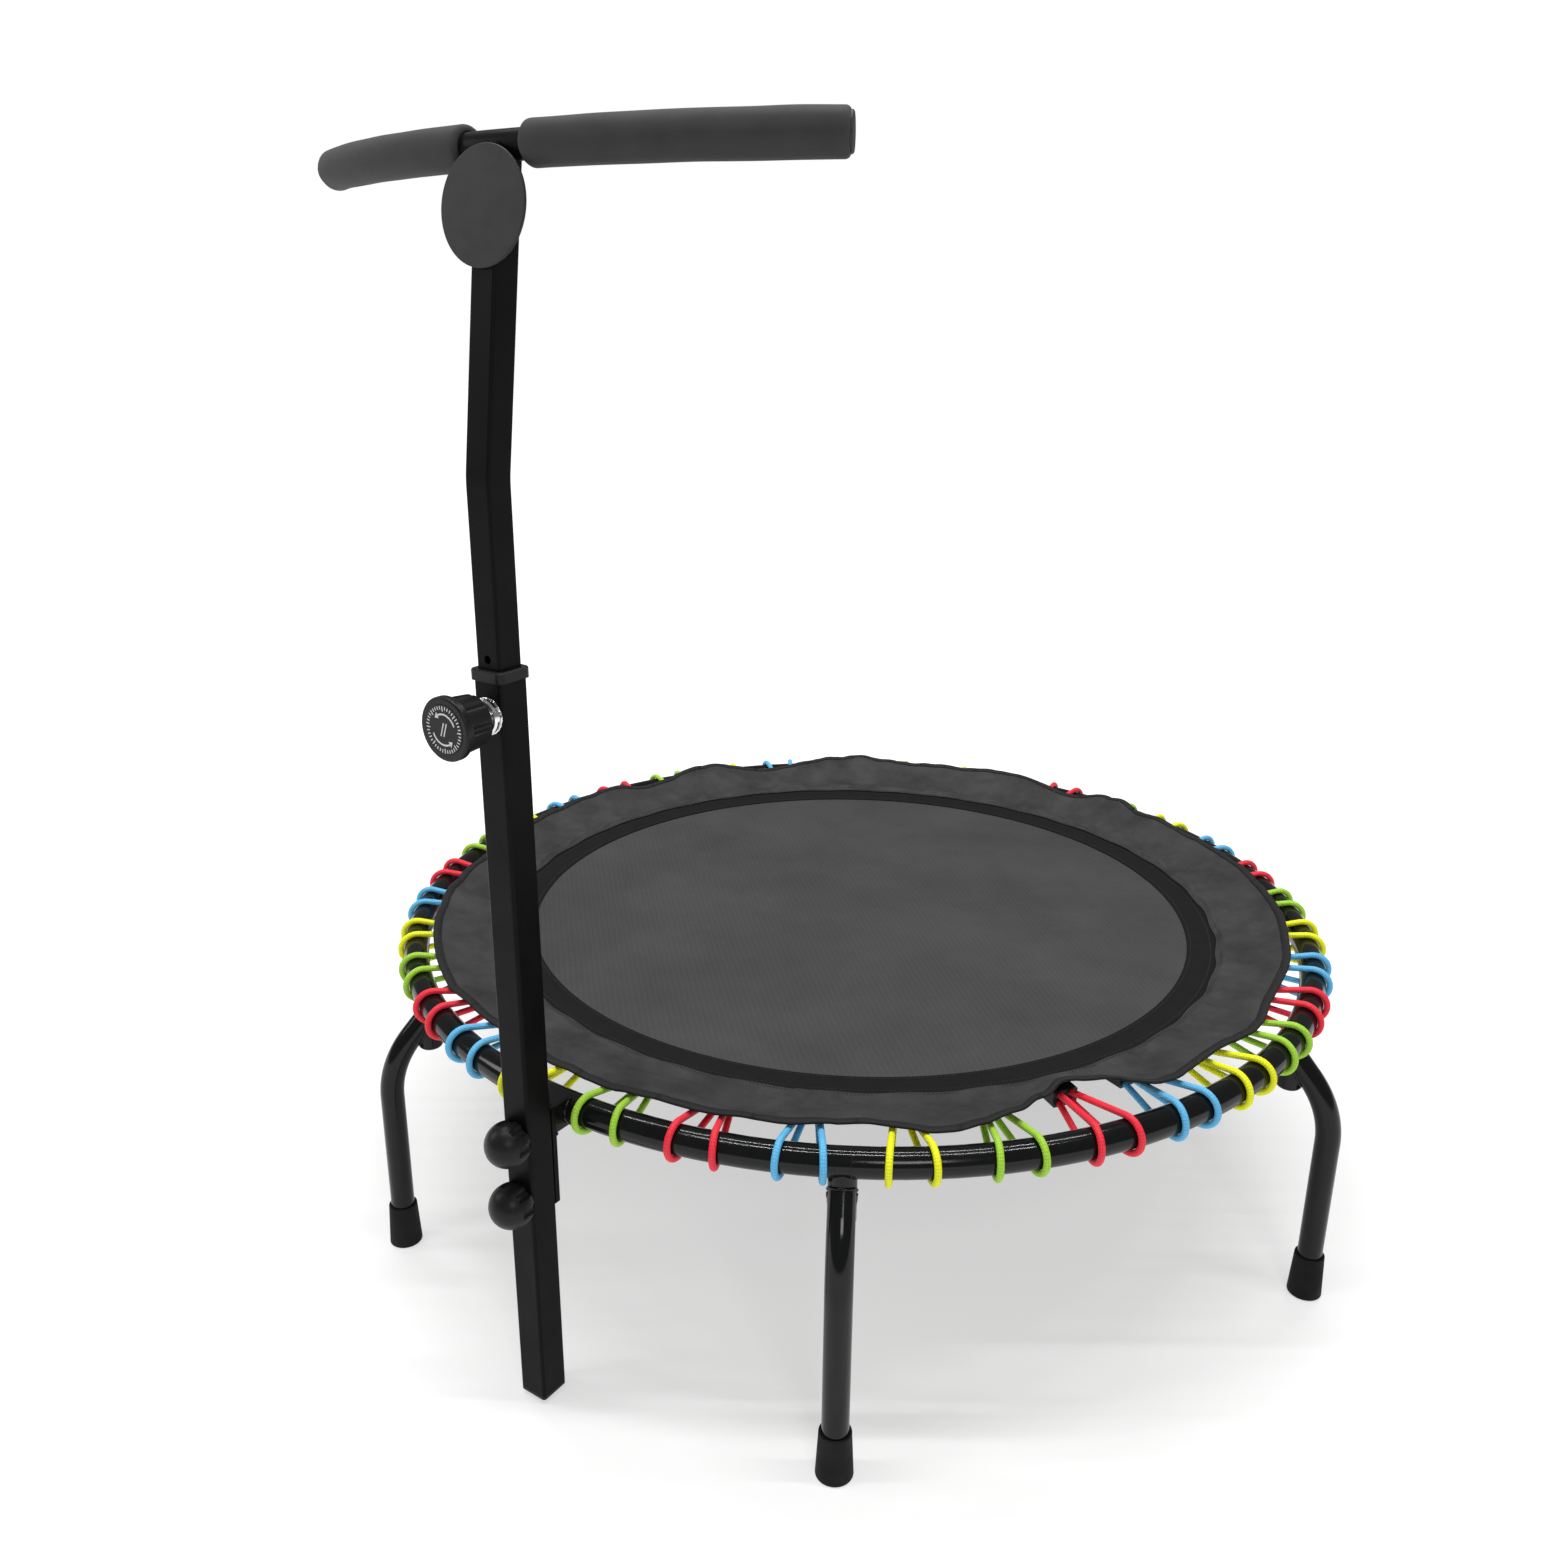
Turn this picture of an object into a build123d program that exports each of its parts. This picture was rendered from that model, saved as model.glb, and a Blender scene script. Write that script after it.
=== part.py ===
"""Mini trampoline: a round bungee rebounder with six curved legs and an adjustable handlebar mast.

Millimetres, +Z up. The origin is on the ring's axis at floor level. The mast stands at -Y, outside
the ring, and its badge faces -Y. Angles are measured about Z from +X, counter-clockwise from above.
"""
from build123d import *
import math
import os

# ---- clearances ----
SEAT_GAP = 0.3          # seated pieces, and bodies that pass each other
NEST_GAP = 0.2          # curved pieces that are welded or pressed together
RUN_GAP = 0.05          # radial running clearance of a shaft or thread

# ---- ring ----
RING_RADIUS = 520.0     # to the tube's centre line
RING_HEIGHT = 295.0     # tube's centre above the floor
RING_TUBE = 28.0        # outside diameter
RING_WALL = 1.5
SEAM_ANGLE = -59.2      # butt joint of the two half rings
JOINT_SLEEVE_SPAN = 7.0  # degrees of ring that each inner sleeve covers
JOINT_SLEEVE_WALL = 1.5

# ---- legs ----
LEG_COUNT = 6
LEG_TUBE = 25.0
LEG_WALL = 1.5
LEG_OUT = 45.0          # straight lower run stands this far outside the ring's centre line
LEG_SLOPE = 48.0        # upper run's angle to the floor
LEG_BEND = 100.0        # bend radius at the knee
LEG_TOP_DROP = 18.5     # leg tube's upper edge, at the sleeve's side, below the ring's centre line
SLEEVE_TUBE = 26.0      # upright sleeve at the top of each leg
SLEEVE_WALL = 2.0
SLEEVE_END = 0.5        # sleeve's lower end below the leg tube's lower edge
SPIGOT_WALL = 2.0
SPIGOT_PLUG_GAP = 3.0   # from the sleeve plug's stem to the spigot's lower end
LEG_SCREW = 5.0         # diameter of the screw that pins each leg to its spigot
LEG_SCREW_HEAD = 7.5
LEG_SCREW_BELOW = 2.5   # screw's axis below the ring tube
LEG_SCREW_HEAD_HEIGHT = 1.6
LEG_SCREW_TAIL = 1.5    # screw's end beyond the spigot's wall
SLEEVE_PLUG_HEAD = 4.5
SLEEVE_PLUG_EDGE = 4.0
SLEEVE_PLUG_STEM = 10.0

# ---- feet ----
FOOT_HEIGHT = 48.0
FOOT_TOP = 30.0
FOOT_BASE = 35.0
FOOT_SOLE = 8.0         # rubber under the tube's end
FOOT_SOLE_EDGE = 1.5
FOOT_MOUTH_EDGE = 1.0

# ---- mast ----
POST_SIDE = 30.0
POST_WALL = 1.5
POST_CORNER = 3.0
POST_TOP = 708.0
POST_CLEAR = 5.0        # from the floor to the post's end plug
POST_FOOT = 3.0         # thickness of the end plug's flange under the post
POST_PLUG_STEM = 15.0
MAST_PLUG_HEAD = 2.0
MAST_PLUG_STEM = 12.0
TUBE_PLUG_WALL = 2.0
TUBE_PLUG_CORNER = 1.5
MAST_SIDE = 25.0
MAST_WALL = 1.5
MAST_CORNER = 2.5
MAST_END = 500.0        # lower end of the sliding mast, inside the post
MAST_KNEE = 864.0
MAST_LEAN = 7.5         # degrees towards the user above the knee
MAST_BEND = 90.0
COLLAR_HEIGHT = 9.0
COLLAR_LIP = 2.5        # collar stands out of the post's sides by this much
COLLAR_DEPTH = 70.0     # guide sleeve below the collar
COLLAR_EDGE = 1.0
HOLE_PITCH = 45.0
HOLE_DIAMETER = 7.0
HOLES_ABOVE = 1         # height holes above the one in use
HOLES_BELOW = 3

# ---- mast bracket ----
ARM_SIDE = 30.0
ARM_WALL = 2.0
ARM_START = 4.0         # arm begins this far outside the ring's centre line
ARM_LENGTH = 11.0       # from the ring tube's outer side to the bracket plate
PLATE = 5.0
PLATE_BOTTOM = 208.0
CLAMP_HEIGHTS = {"upper": 289.0, "lower": 225.0}
STUD = 8.0
STUD_HOLE = 9.0
STUD_CLEARANCE = 1.0    # from the stud's end to the ring tube's outer side
NUT_FLATS = 13.0
NUT_LENGTH = 6.5
BALL = 42.0
BALL_STANDOFF = 10.5    # ball's centre from the post's face
BALL_FLUTES = 7
BALL_FLUTE = 12.0
BALL_FLUTE_DEPTH = 16.0
STUD_SEAT = 16.0        # stud's end inside the ball, from the post's face
STUD_EDGE = 0.8
BALL_FLUTE_OUT = 1.0    # flute's axis outside the ball's widest circle

# ---- height pin ----
PIN_HEIGHT = 680.0
PIN_NUT = 29.0
PIN_NUT_LENGTH = 6.0
PIN_NUT_EDGE = 1.5
BARREL = 18.0
BARREL_NECK = 15.0
BARREL_SHOULDER = 15.5  # end of the threaded part, from the post's face
BARREL_END = 24.0
BARREL_CAP = 4.0
THREAD_PITCH = 2.0
THREAD_DEPTH = 0.7
THREAD_START = 1.5      # first groove beyond the nut
CHAMBER = 12.4
PIN_NOSE = 8.0
PIN_NOSE_HOLE = 9.0
PIN_NOSE_EDGE = 1.0
PIN_SHOULDER = 12.0
PIN_SHOULDER_START = 3.0
PIN_SHOULDER_END = 5.0
PIN_STEM = 6.0
PIN_STEM_END = 38.0
SPRING_WIRE = 1.2
SPRING_MEAN = 9.4
SPRING_TURNS = 4.5
KNOB_START = 16.0
KNOB_FLANGE_START = 40.0
KNOB_END = 47.0
KNOB_BODY = 47.0
KNOB_FLANGE = 52.0
KNOB_FLUTES = 8
KNOB_FLUTE = 9.0
KNOB_FLUTE_OUT = 1.5    # flute's axis outside the knob's widest circle
KNOB_TAPER = 2.0        # knob's back is smaller in radius by this much
KNOB_BACK_EDGE = 1.5
KNOB_FRONT_EDGE = 2.0
KNOB_FLANGE_EDGE = 1.0
KNOB_POCKET_FLOOR = 2.0  # clearance beyond the barrel's neck
KNOB_CAP = 40.0
KNOB_CAP_RECESS = 2.0
KNOB_CAP_PROUD = 0.3

# ---- handlebar ----
BAR_TUBE = 22.0
BAR_WALL = 1.5
BAR_HEIGHT = 1097.0
BAR_HALF_WIDTH = 259.0
BAR_SWEEP = 63.0        # how far the bar's ends come towards the user
GRIP = 33.0
GRIP_START = 31.0       # from the middle of the bar
BAR_PLUG_RIM = 3.0      # foam that shows round the plug's head
BAR_PLUG_HEAD = 2.0
BAR_PLUG_EDGE = 1.5
BAR_PLUG_STEM = 14.0

# ---- badge ----
BADGE = 85.0
BADGE_THICKNESS = 2.5
BADGE_HEIGHT = 1054.0
BADGE_EDGE = 0.8
BADGE_SCREW = 4.0
BADGE_SCREW_HEAD = 7.5
BADGE_SCREW_SPACING = 24.0
BADGE_SCREW_HEAD_HEIGHT = 2.0

# ---- mat ----
MAT_THICKNESS = 3.0
MAT_TOP = 297.0
BAND_WIDTH = 38.0
BAND_THICKNESS = 1.5

# ---- bungee cords ----
CORD = 6.5
CORD_GROUPS = 36        # each group is one cord passed twice over the ring
FIRST_GROUP = 5.0       # angle of the first group
LACING_DRIFT = 1.8      # most that a group strays from even spacing, in degrees
LACING_DRIFT_ANGLE = -35.0
LACING_DRIFT_FALL = 8   # how fast the drift dies away round the ring
WRAP_ANGLE = 2.0        # each wrap from the middle of its group, at the ring
CORD_COLOURS = ["red", "blue", "yellow", "green"]
CORD_SPAN = 71.0        # from the clips' outer faces to the ring's centre line
CLIP_LENGTH = 22.0
CLIP_GAP = 3.0          # from the mat's edge to the clips
CLIP_WIDTH = 26.0
CLIP_HEIGHT = 17.0
CLIP_EDGE = 2.0
STRAND_OFFSET = 6.2     # strands' places in the clip's outer face
STRAND_RISE = 4.5
TAB_LENGTH = 30.0
TAB_WIDTH = 20.0
TAB_THICKNESS = 1.5
TAB_HOLD = 10.0         # tab's length inside the clip

# ---- skirt ----
SKIRT_LAP = 6.0         # skirt's inner edge inside the mat's edge
SKIRT_HEM_GAP = 20.0    # from the hem to the ring's centre line
SKIRT_THICKNESS = 2.0
SKIRT_SEAM = 3.0        # flat width that is sewn to the band
SKIRT_CORD_GAP = 0.9
SKIRT_CLIP_LEAD = 1.0   # the skirt is up at the clips' height this far before them
PIPING = 4.4

# ---- derived places ----
RING_SECTION = RING_TUBE / 2
RING_OUTSIDE = RING_RADIUS + RING_SECTION
RING_STEP = 360 / LEG_COUNT
CORD_STEP = 360 / CORD_GROUPS
LEG_REACH = RING_RADIUS + LEG_OUT
LEG_SCREW_DROP = RING_SECTION + LEG_SCREW_BELOW
LEG_RISE = math.tan(math.radians(LEG_SLOPE))
LEG_SIDE = LEG_TUBE / 2 / math.cos(math.radians(LEG_SLOPE))
LEG_KNEE_HEIGHT = RING_HEIGHT - LEG_TOP_DROP - LEG_SIDE - (LEG_OUT - SLEEVE_TUBE / 2) * LEG_RISE
SLEEVE_DROP = LEG_TOP_DROP + 2 * LEG_SIDE + SLEEVE_END
SPIGOT_DROP = SLEEVE_DROP - SLEEVE_PLUG_STEM - SPIGOT_PLUG_GAP
POST_BOTTOM = POST_CLEAR + POST_FOOT
PLATE_BACK = RING_OUTSIDE + ARM_LENGTH
POST_BACK = PLATE_BACK + PLATE
POST_REACH = POST_BACK + POST_SIDE / 2
POST_FACE = POST_REACH + POST_SIDE / 2
MAST_FACE = MAST_SIDE / 2
BAR_REACH = POST_REACH - (BAR_HEIGHT - MAST_KNEE) * math.tan(math.radians(MAST_LEAN))
BADGE_REACH = POST_REACH - (BADGE_HEIGHT - MAST_KNEE) * math.tan(math.radians(MAST_LEAN))
BAR_RADIUS = (BAR_HALF_WIDTH**2 + BAR_SWEEP**2) / (2 * BAR_SWEEP)
BAR_HALF_ANGLE = math.degrees(math.asin(BAR_HALF_WIDTH / BAR_RADIUS))
GRIP_START_ANGLE = math.degrees(math.asin(GRIP_START / BAR_RADIUS))
CLIP_END = RING_RADIUS - CORD_SPAN
CLIP_START = CLIP_END - CLIP_LENGTH
MAT_RADIUS = CLIP_START - CLIP_GAP
SKIRT_INNER = MAT_RADIUS - SKIRT_LAP
SKIRT_OUTER = RING_RADIUS - SKIRT_HEM_GAP
WRAP_RADIUS = RING_SECTION + SEAT_GAP + CORD / 2
HOLE_HEIGHTS = [PIN_HEIGHT + HOLE_PITCH * step for step in range(-HOLES_BELOW, HOLES_ABOVE + 1)]
BASE = (Align.CENTER, Align.CENTER, Align.MIN)


def save(name, shapes):
    """Write one sub-part, a solid or a group of separate solids, to its own STEP file."""
    solids = [solid for shape in shapes for solid in shape.solids()]
    export_step(solids[0] if len(solids) == 1 else Compound(children=solids), f"parts/{name}.step")


def around(shape, angle):
    """Turn a shape about the ring's axis, from the +X direction to an angle."""
    return Rot(0, 0, angle) * shape


def outward(shape, height, start=0.0):
    """Stand a shape built along +Z on the post's face, pointing away from the ring (-Y)."""
    return Plane(origin=(0, -(POST_FACE + start), height), x_dir=(1, 0, 0), z_dir=(0, -1, 0)) * shape


def rod(diameter, start, end):
    """A cylinder along +Z between two heights."""
    return Pos(0, 0, start) * Cylinder(diameter / 2, end - start, align=BASE)


def pipe(diameter, bore, start, end):
    """A round tube along +Z between two heights."""
    return rod(diameter, start, end) - rod(bore, start, end)


def square_section(side, corner):
    """A square with rounded corners."""
    return RectangleRounded(side, side, corner)


def square_tube_section(side, wall, corner):
    """The section of a square tube."""
    return square_section(side, corner) - square_section(side - 2 * wall, max(corner - wall, 0.5))


def along(section, path):
    """Sweep a flat section along a path that it starts square to."""
    return sweep(Plane(origin=path @ 0, z_dir=path % 0) * section, path=path)


def ring_zone(clearance):
    """The whole ring tube as a solid, grown by a clearance, for coping the tubes that meet it."""
    return Pos(0, 0, RING_HEIGHT) * Torus(RING_RADIUS, RING_SECTION + clearance)


# ---------------------------------------------------------------- ring
def ring_arc(outer, inner, start, span):
    """A stretch of round tube bent on the ring's centre line."""
    section = Pos(RING_RADIUS, RING_HEIGHT) * (Circle(outer / 2) - Circle(inner / 2))
    return around(revolve(Plane.XZ * section, Axis.Z, -span), start + span)


def build_ring():
    bore = RING_TUBE - 2 * RING_WALL
    halves = [ring_arc(RING_TUBE, bore, SEAM_ANGLE + turn, 180) for turn in (0, 180)]
    save("rim_rear_half", halves[:1])
    save("rim_front_half", halves[1:])
    sleeve = bore - 2 * NEST_GAP
    sleeve_bore = sleeve - 2 * JOINT_SLEEVE_WALL
    starts = [SEAM_ANGLE + turn - JOINT_SLEEVE_SPAN / 2 for turn in (0, 180)]
    save("rim_joint_sleeves", [ring_arc(sleeve, sleeve_bore, start, JOINT_SLEEVE_SPAN) for start in starts])


# ---------------------------------------------------------------- legs
def leg_screw_along_x():
    """The leg screw's axis, from the sleeve's inner side outwards."""
    start = (RING_RADIUS - SLEEVE_TUBE / 2, 0, RING_HEIGHT - LEG_SCREW_DROP)
    return Plane(origin=start, z_dir=(1, 0, 0))


def build_leg():
    """One leg at angle 0: a bent tube welded to the side of an upright sleeve."""
    knee = (LEG_REACH, 0, LEG_KNEE_HEIGHT)
    head = (RING_RADIUS, 0, LEG_KNEE_HEIGHT + LEG_OUT * LEG_RISE)
    path = FilletPolyline((LEG_REACH, 0, FOOT_SOLE), knee, head, radius=LEG_BEND)
    tube = along(Circle(LEG_TUBE / 2), path) - along(Circle(LEG_TUBE / 2 - LEG_WALL), path)
    bottom = RING_HEIGHT - SLEEVE_DROP
    core = Pos(RING_RADIUS, 0, 0) * rod(SLEEVE_TUBE, bottom, RING_HEIGHT)
    sleeve = Pos(RING_RADIUS, 0, 0) * pipe(SLEEVE_TUBE, SLEEVE_TUBE - 2 * SLEEVE_WALL, bottom, RING_HEIGHT)
    screw_hole = leg_screw_along_x() * rod(LEG_SCREW + 2 * NEST_GAP, 0, SLEEVE_WALL + 1)
    return (tube - core) + sleeve - ring_zone(NEST_GAP) - screw_hole


def build_spigot():
    """The stub welded under the ring that carries a leg's sleeve."""
    outer = SLEEVE_TUBE - 2 * SLEEVE_WALL - 2 * NEST_GAP
    stub = Pos(RING_RADIUS, 0, 0) * pipe(
        outer, outer - 2 * SPIGOT_WALL, RING_HEIGHT - SPIGOT_DROP, RING_HEIGHT
    )
    screw_hole = leg_screw_along_x() * rod(LEG_SCREW + 2 * NEST_GAP, 0, SLEEVE_TUBE / 2)
    return stub - ring_zone(NEST_GAP) - screw_hole


def build_leg_screw():
    head = rod(LEG_SCREW_HEAD, -LEG_SCREW_HEAD_HEIGHT, 0)
    head = fillet(head.edges().group_by(Axis.Z)[0], LEG_SCREW_HEAD_HEIGHT / 2)
    shank = rod(LEG_SCREW, 0, SLEEVE_WALL + SPIGOT_WALL + NEST_GAP + LEG_SCREW_TAIL)
    return leg_screw_along_x() * (head + shank)


def build_sleeve_plug():
    """The round-ended cap that closes a sleeve's lower end."""
    bottom = RING_HEIGHT - SLEEVE_DROP
    head = rod(SLEEVE_TUBE, bottom - SLEEVE_PLUG_HEAD, bottom)
    head = fillet(head.edges().group_by(Axis.Z)[0], SLEEVE_PLUG_EDGE)
    stem = rod(SLEEVE_TUBE - 2 * SLEEVE_WALL - 2 * NEST_GAP, bottom, bottom + SLEEVE_PLUG_STEM)
    return Pos(RING_RADIUS, 0, 0) * (head + stem)


def build_foot():
    """A tapered rubber foot with a socket for the leg's end."""
    cone = Cone(FOOT_BASE / 2, FOOT_TOP / 2, FOOT_HEIGHT, align=BASE)
    cone = fillet(cone.edges().group_by(Axis.Z)[0], FOOT_SOLE_EDGE)
    cone = fillet(cone.edges().group_by(Axis.Z)[-1], FOOT_MOUTH_EDGE)
    socket = rod(LEG_TUBE + 2 * NEST_GAP, FOOT_SOLE, FOOT_HEIGHT + 1)
    return Pos(LEG_REACH, 0, 0) * (cone - socket)


def build_legs():
    angles = [RING_STEP * index for index in range(LEG_COUNT)]
    leg = build_leg()
    foot = build_foot()
    for number, angle in enumerate(angles, start=1):
        save(f"leg_{number}", [around(leg, angle)])
        save(f"foot_{number}", [around(foot, angle)])
    groups = {
        "leg_spigots": build_spigot(),
        "leg_screws": build_leg_screw(),
        "leg_sleeve_plugs": build_sleeve_plug(),
    }
    for name, piece in groups.items():
        save(name, [around(piece, angle) for angle in angles])


# ---------------------------------------------------------------- mast bracket and post
def on_post(shape):
    """Move a shape built about Z to the mast's upright centre line."""
    return Pos(0, -POST_REACH, 0) * shape


def build_bracket():
    """The square arm that is welded to the ring, its upright plate and the two welded nuts."""
    start = RING_RADIUS + ARM_START
    tube = square_tube_section(ARM_SIDE, ARM_WALL, POST_CORNER)
    seat = Plane(origin=(0, -start, RING_HEIGHT), x_dir=(1, 0, 0), z_dir=(0, -1, 0))
    arm = extrude(seat * tube, PLATE_BACK - start) - ring_zone(NEST_GAP)
    top = RING_HEIGHT + ARM_SIDE / 2
    plate = Pos(0, -(PLATE_BACK + POST_BACK) / 2, PLATE_BOTTOM) * Box(
        ARM_SIDE, PLATE, top - PLATE_BOTTOM, align=BASE
    )
    plate = fillet(plate.edges().filter_by(Axis.Y), POST_CORNER)
    reach = POST_FACE - PLATE_BACK
    nuts = []
    for height in CLAMP_HEIGHTS.values():
        plate -= outward(rod(STUD_HOLE, -reach - 1, 0), height)
        nut = extrude(RegularPolygon(NUT_FLATS / 2, 6, major_radius=False), NUT_LENGTH)
        nut -= rod(STUD + 2 * RUN_GAP, -1, NUT_LENGTH + 1)
        nuts.append(outward(nut, height, -reach - NUT_LENGTH))
    save("mast_arm", [arm])
    save("mast_plate", [plate])
    save("mast_weld_nuts", nuts)


def build_post():
    """The fixed lower post, the plug under it and the plastic guide collar in its mouth."""
    section = square_tube_section(POST_SIDE, POST_WALL, POST_CORNER)
    post = on_post(Pos(0, 0, POST_BOTTOM) * extrude(section, POST_TOP - POST_BOTTOM))
    for height in CLAMP_HEIGHTS.values():
        post -= outward(rod(STUD_HOLE, -POST_SIDE - 1, 1), height)
    post -= outward(rod(PIN_NOSE_HOLE, -POST_SIDE / 2, 1), PIN_HEIGHT)
    save("lower_post", [post])

    inside = POST_SIDE - 2 * POST_WALL - 2 * NEST_GAP
    flange = Pos(0, 0, POST_CLEAR) * extrude(square_section(POST_SIDE, POST_CORNER), POST_FOOT)
    stem = Pos(0, 0, POST_BOTTOM) * extrude(
        square_tube_section(inside, TUBE_PLUG_WALL, TUBE_PLUG_CORNER), POST_PLUG_STEM
    )
    save("post_foot_plug", [on_post(flange + stem)])

    mouth = MAST_SIDE + 2 * SEAT_GAP
    lip = extrude(square_section(POST_SIDE + 2 * COLLAR_LIP, POST_CORNER + COLLAR_LIP), COLLAR_HEIGHT)
    lip = chamfer(lip.edges().group_by(Axis.Z)[-1], COLLAR_EDGE)
    guide = Pos(0, 0, -COLLAR_DEPTH) * extrude(square_section(inside, TUBE_PLUG_CORNER), COLLAR_DEPTH)
    bore = extrude(square_section(mouth, MAST_CORNER), COLLAR_DEPTH + COLLAR_HEIGHT)
    bore = Pos(0, 0, -COLLAR_DEPTH) * bore
    collar = on_post(Pos(0, 0, POST_TOP) * (lip + guide - bore))
    collar -= outward(rod(PIN_NOSE_HOLE, -POST_SIDE / 2, 1), PIN_HEIGHT)
    save("post_collar", [collar])


def build_clamp_knob():
    """A ball knob with finger flutes round its back half, built along +Z from the post's face."""
    ball = Pos(0, 0, BALL_STANDOFF) * Sphere(BALL / 2)
    ball -= rod(BALL + 2, -BALL, 2 * SEAT_GAP)
    for index in range(BALL_FLUTES):
        flute = Pos(BALL / 2 + BALL_FLUTE_OUT, 0, 0) * rod(BALL_FLUTE, 0, BALL_FLUTE_DEPTH)
        ball -= Rot(0, 0, index * 360 / BALL_FLUTES) * flute
    return ball - rod(STUD + 2 * NEST_GAP, 0, STUD_SEAT)


def build_clamps():
    """The two knobs that draw the post against the bracket plate."""
    tip = -(POST_FACE - RING_OUTSIDE) + STUD_CLEARANCE
    for name, height in CLAMP_HEIGHTS.items():
        save(f"clamp_knob_{name}", [outward(build_clamp_knob(), height)])
        stud = rod(STUD, tip, STUD_SEAT - NEST_GAP)
        stud = chamfer(stud.edges().group_by(Axis.Z)[0], STUD_EDGE)
        save(f"clamp_stud_{name}", [outward(stud, height)])


# ---------------------------------------------------------------- height pin
def build_pin_barrel():
    barrel = rod(BARREL, SEAT_GAP, BARREL_SHOULDER) + rod(BARREL_NECK, BARREL_SHOULDER, BARREL_END)
    groove = PIN_NUT_LENGTH + THREAD_START
    while groove < BARREL_SHOULDER - THREAD_PITCH / 2:
        barrel -= pipe(BARREL + 1, BARREL - 2 * THREAD_DEPTH, groove, groove + THREAD_PITCH / 2)
        groove += THREAD_PITCH
    barrel -= rod(CHAMBER, 0, BARREL_END - BARREL_CAP)
    return barrel - rod(PIN_STEM + 2 * RUN_GAP, 0, BARREL_END + 1)


def build_pin_plunger():
    tip = -(POST_SIDE - MAST_SIDE) / 2 + SEAT_GAP
    nose = rod(PIN_NOSE, tip, PIN_SHOULDER_START)
    nose = chamfer(nose.edges().group_by(Axis.Z)[0], PIN_NOSE_EDGE)
    shoulder = rod(PIN_SHOULDER, PIN_SHOULDER_START, PIN_SHOULDER_END)
    return nose + shoulder + rod(PIN_STEM, PIN_SHOULDER_END, PIN_STEM_END)


def build_pin_spring():
    start = PIN_SHOULDER_END + SEAT_GAP + SPRING_WIRE / 2
    end = BARREL_END - BARREL_CAP - SEAT_GAP - SPRING_WIRE / 2
    path = Helix((end - start) / SPRING_TURNS, end - start, SPRING_MEAN / 2)
    return Pos(0, 0, start) * along(Circle(SPRING_WIRE / 2), path)


def build_height_knob():
    """The flanged, fluted pull knob, with a pocket for the barrel's neck and a recess for its cap."""
    body = Pos(0, 0, KNOB_START) * Cone(
        KNOB_BODY / 2 - KNOB_TAPER, KNOB_BODY / 2, KNOB_FLANGE_START - KNOB_START, align=BASE
    )
    body = fillet(body.edges().group_by(Axis.Z)[0], KNOB_BACK_EDGE)
    for index in range(KNOB_FLUTES):
        flute = Pos(KNOB_BODY / 2 + KNOB_FLUTE_OUT, 0, 0) * rod(KNOB_FLUTE, KNOB_START - 1, KNOB_FLANGE_START)
        body -= Rot(0, 0, index * 360 / KNOB_FLUTES) * flute
    flange = rod(KNOB_FLANGE, KNOB_FLANGE_START, KNOB_END)
    flange = fillet(flange.edges().group_by(Axis.Z)[-1], KNOB_FRONT_EDGE)
    flange = fillet(flange.edges().group_by(Axis.Z)[0], KNOB_FLANGE_EDGE)
    knob = body + flange
    knob -= rod(BARREL_NECK + 4 * SEAT_GAP, KNOB_START - 1, BARREL_END + KNOB_POCKET_FLOOR)
    knob -= rod(PIN_STEM + 2 * NEST_GAP, KNOB_START, PIN_STEM_END + NEST_GAP)
    return knob - rod(KNOB_CAP + 2 * NEST_GAP, KNOB_END - KNOB_CAP_RECESS, KNOB_END + 1)


def build_pin():
    nut = pipe(PIN_NUT, BARREL + 2 * RUN_GAP, 0, PIN_NUT_LENGTH)
    nut = chamfer(nut.edges().group_by(Axis.Z)[-1].sort_by(SortBy.LENGTH)[-1], PIN_NUT_EDGE)
    cap = rod(KNOB_CAP, KNOB_END - KNOB_CAP_RECESS, KNOB_END + KNOB_CAP_PROUD)
    pieces = {
        "pin_weld_nut": nut,
        "pin_barrel": build_pin_barrel(),
        "pin_plunger": build_pin_plunger(),
        "pin_spring": build_pin_spring(),
        "height_knob": build_height_knob(),
        "knob_cap": cap,
    }
    for name, piece in pieces.items():
        save(name, [outward(piece, PIN_HEIGHT)])


# ---------------------------------------------------------------- sliding mast, badge and handlebar
def badge_plane():
    """The leaning mast's front face at the badge's middle, with +Z outwards."""
    lean = math.radians(MAST_LEAN)
    normal = (0, -math.cos(lean), math.sin(lean))
    centre = (0, -BADGE_REACH + MAST_FACE * normal[1], BADGE_HEIGHT + MAST_FACE * normal[2])
    return Plane(origin=centre, x_dir=(1, 0, 0), z_dir=normal)


def badge_screw_places():
    return [Pos(0, side * BADGE_SCREW_SPACING / 2, 0) for side in (-1, 1)]


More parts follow.
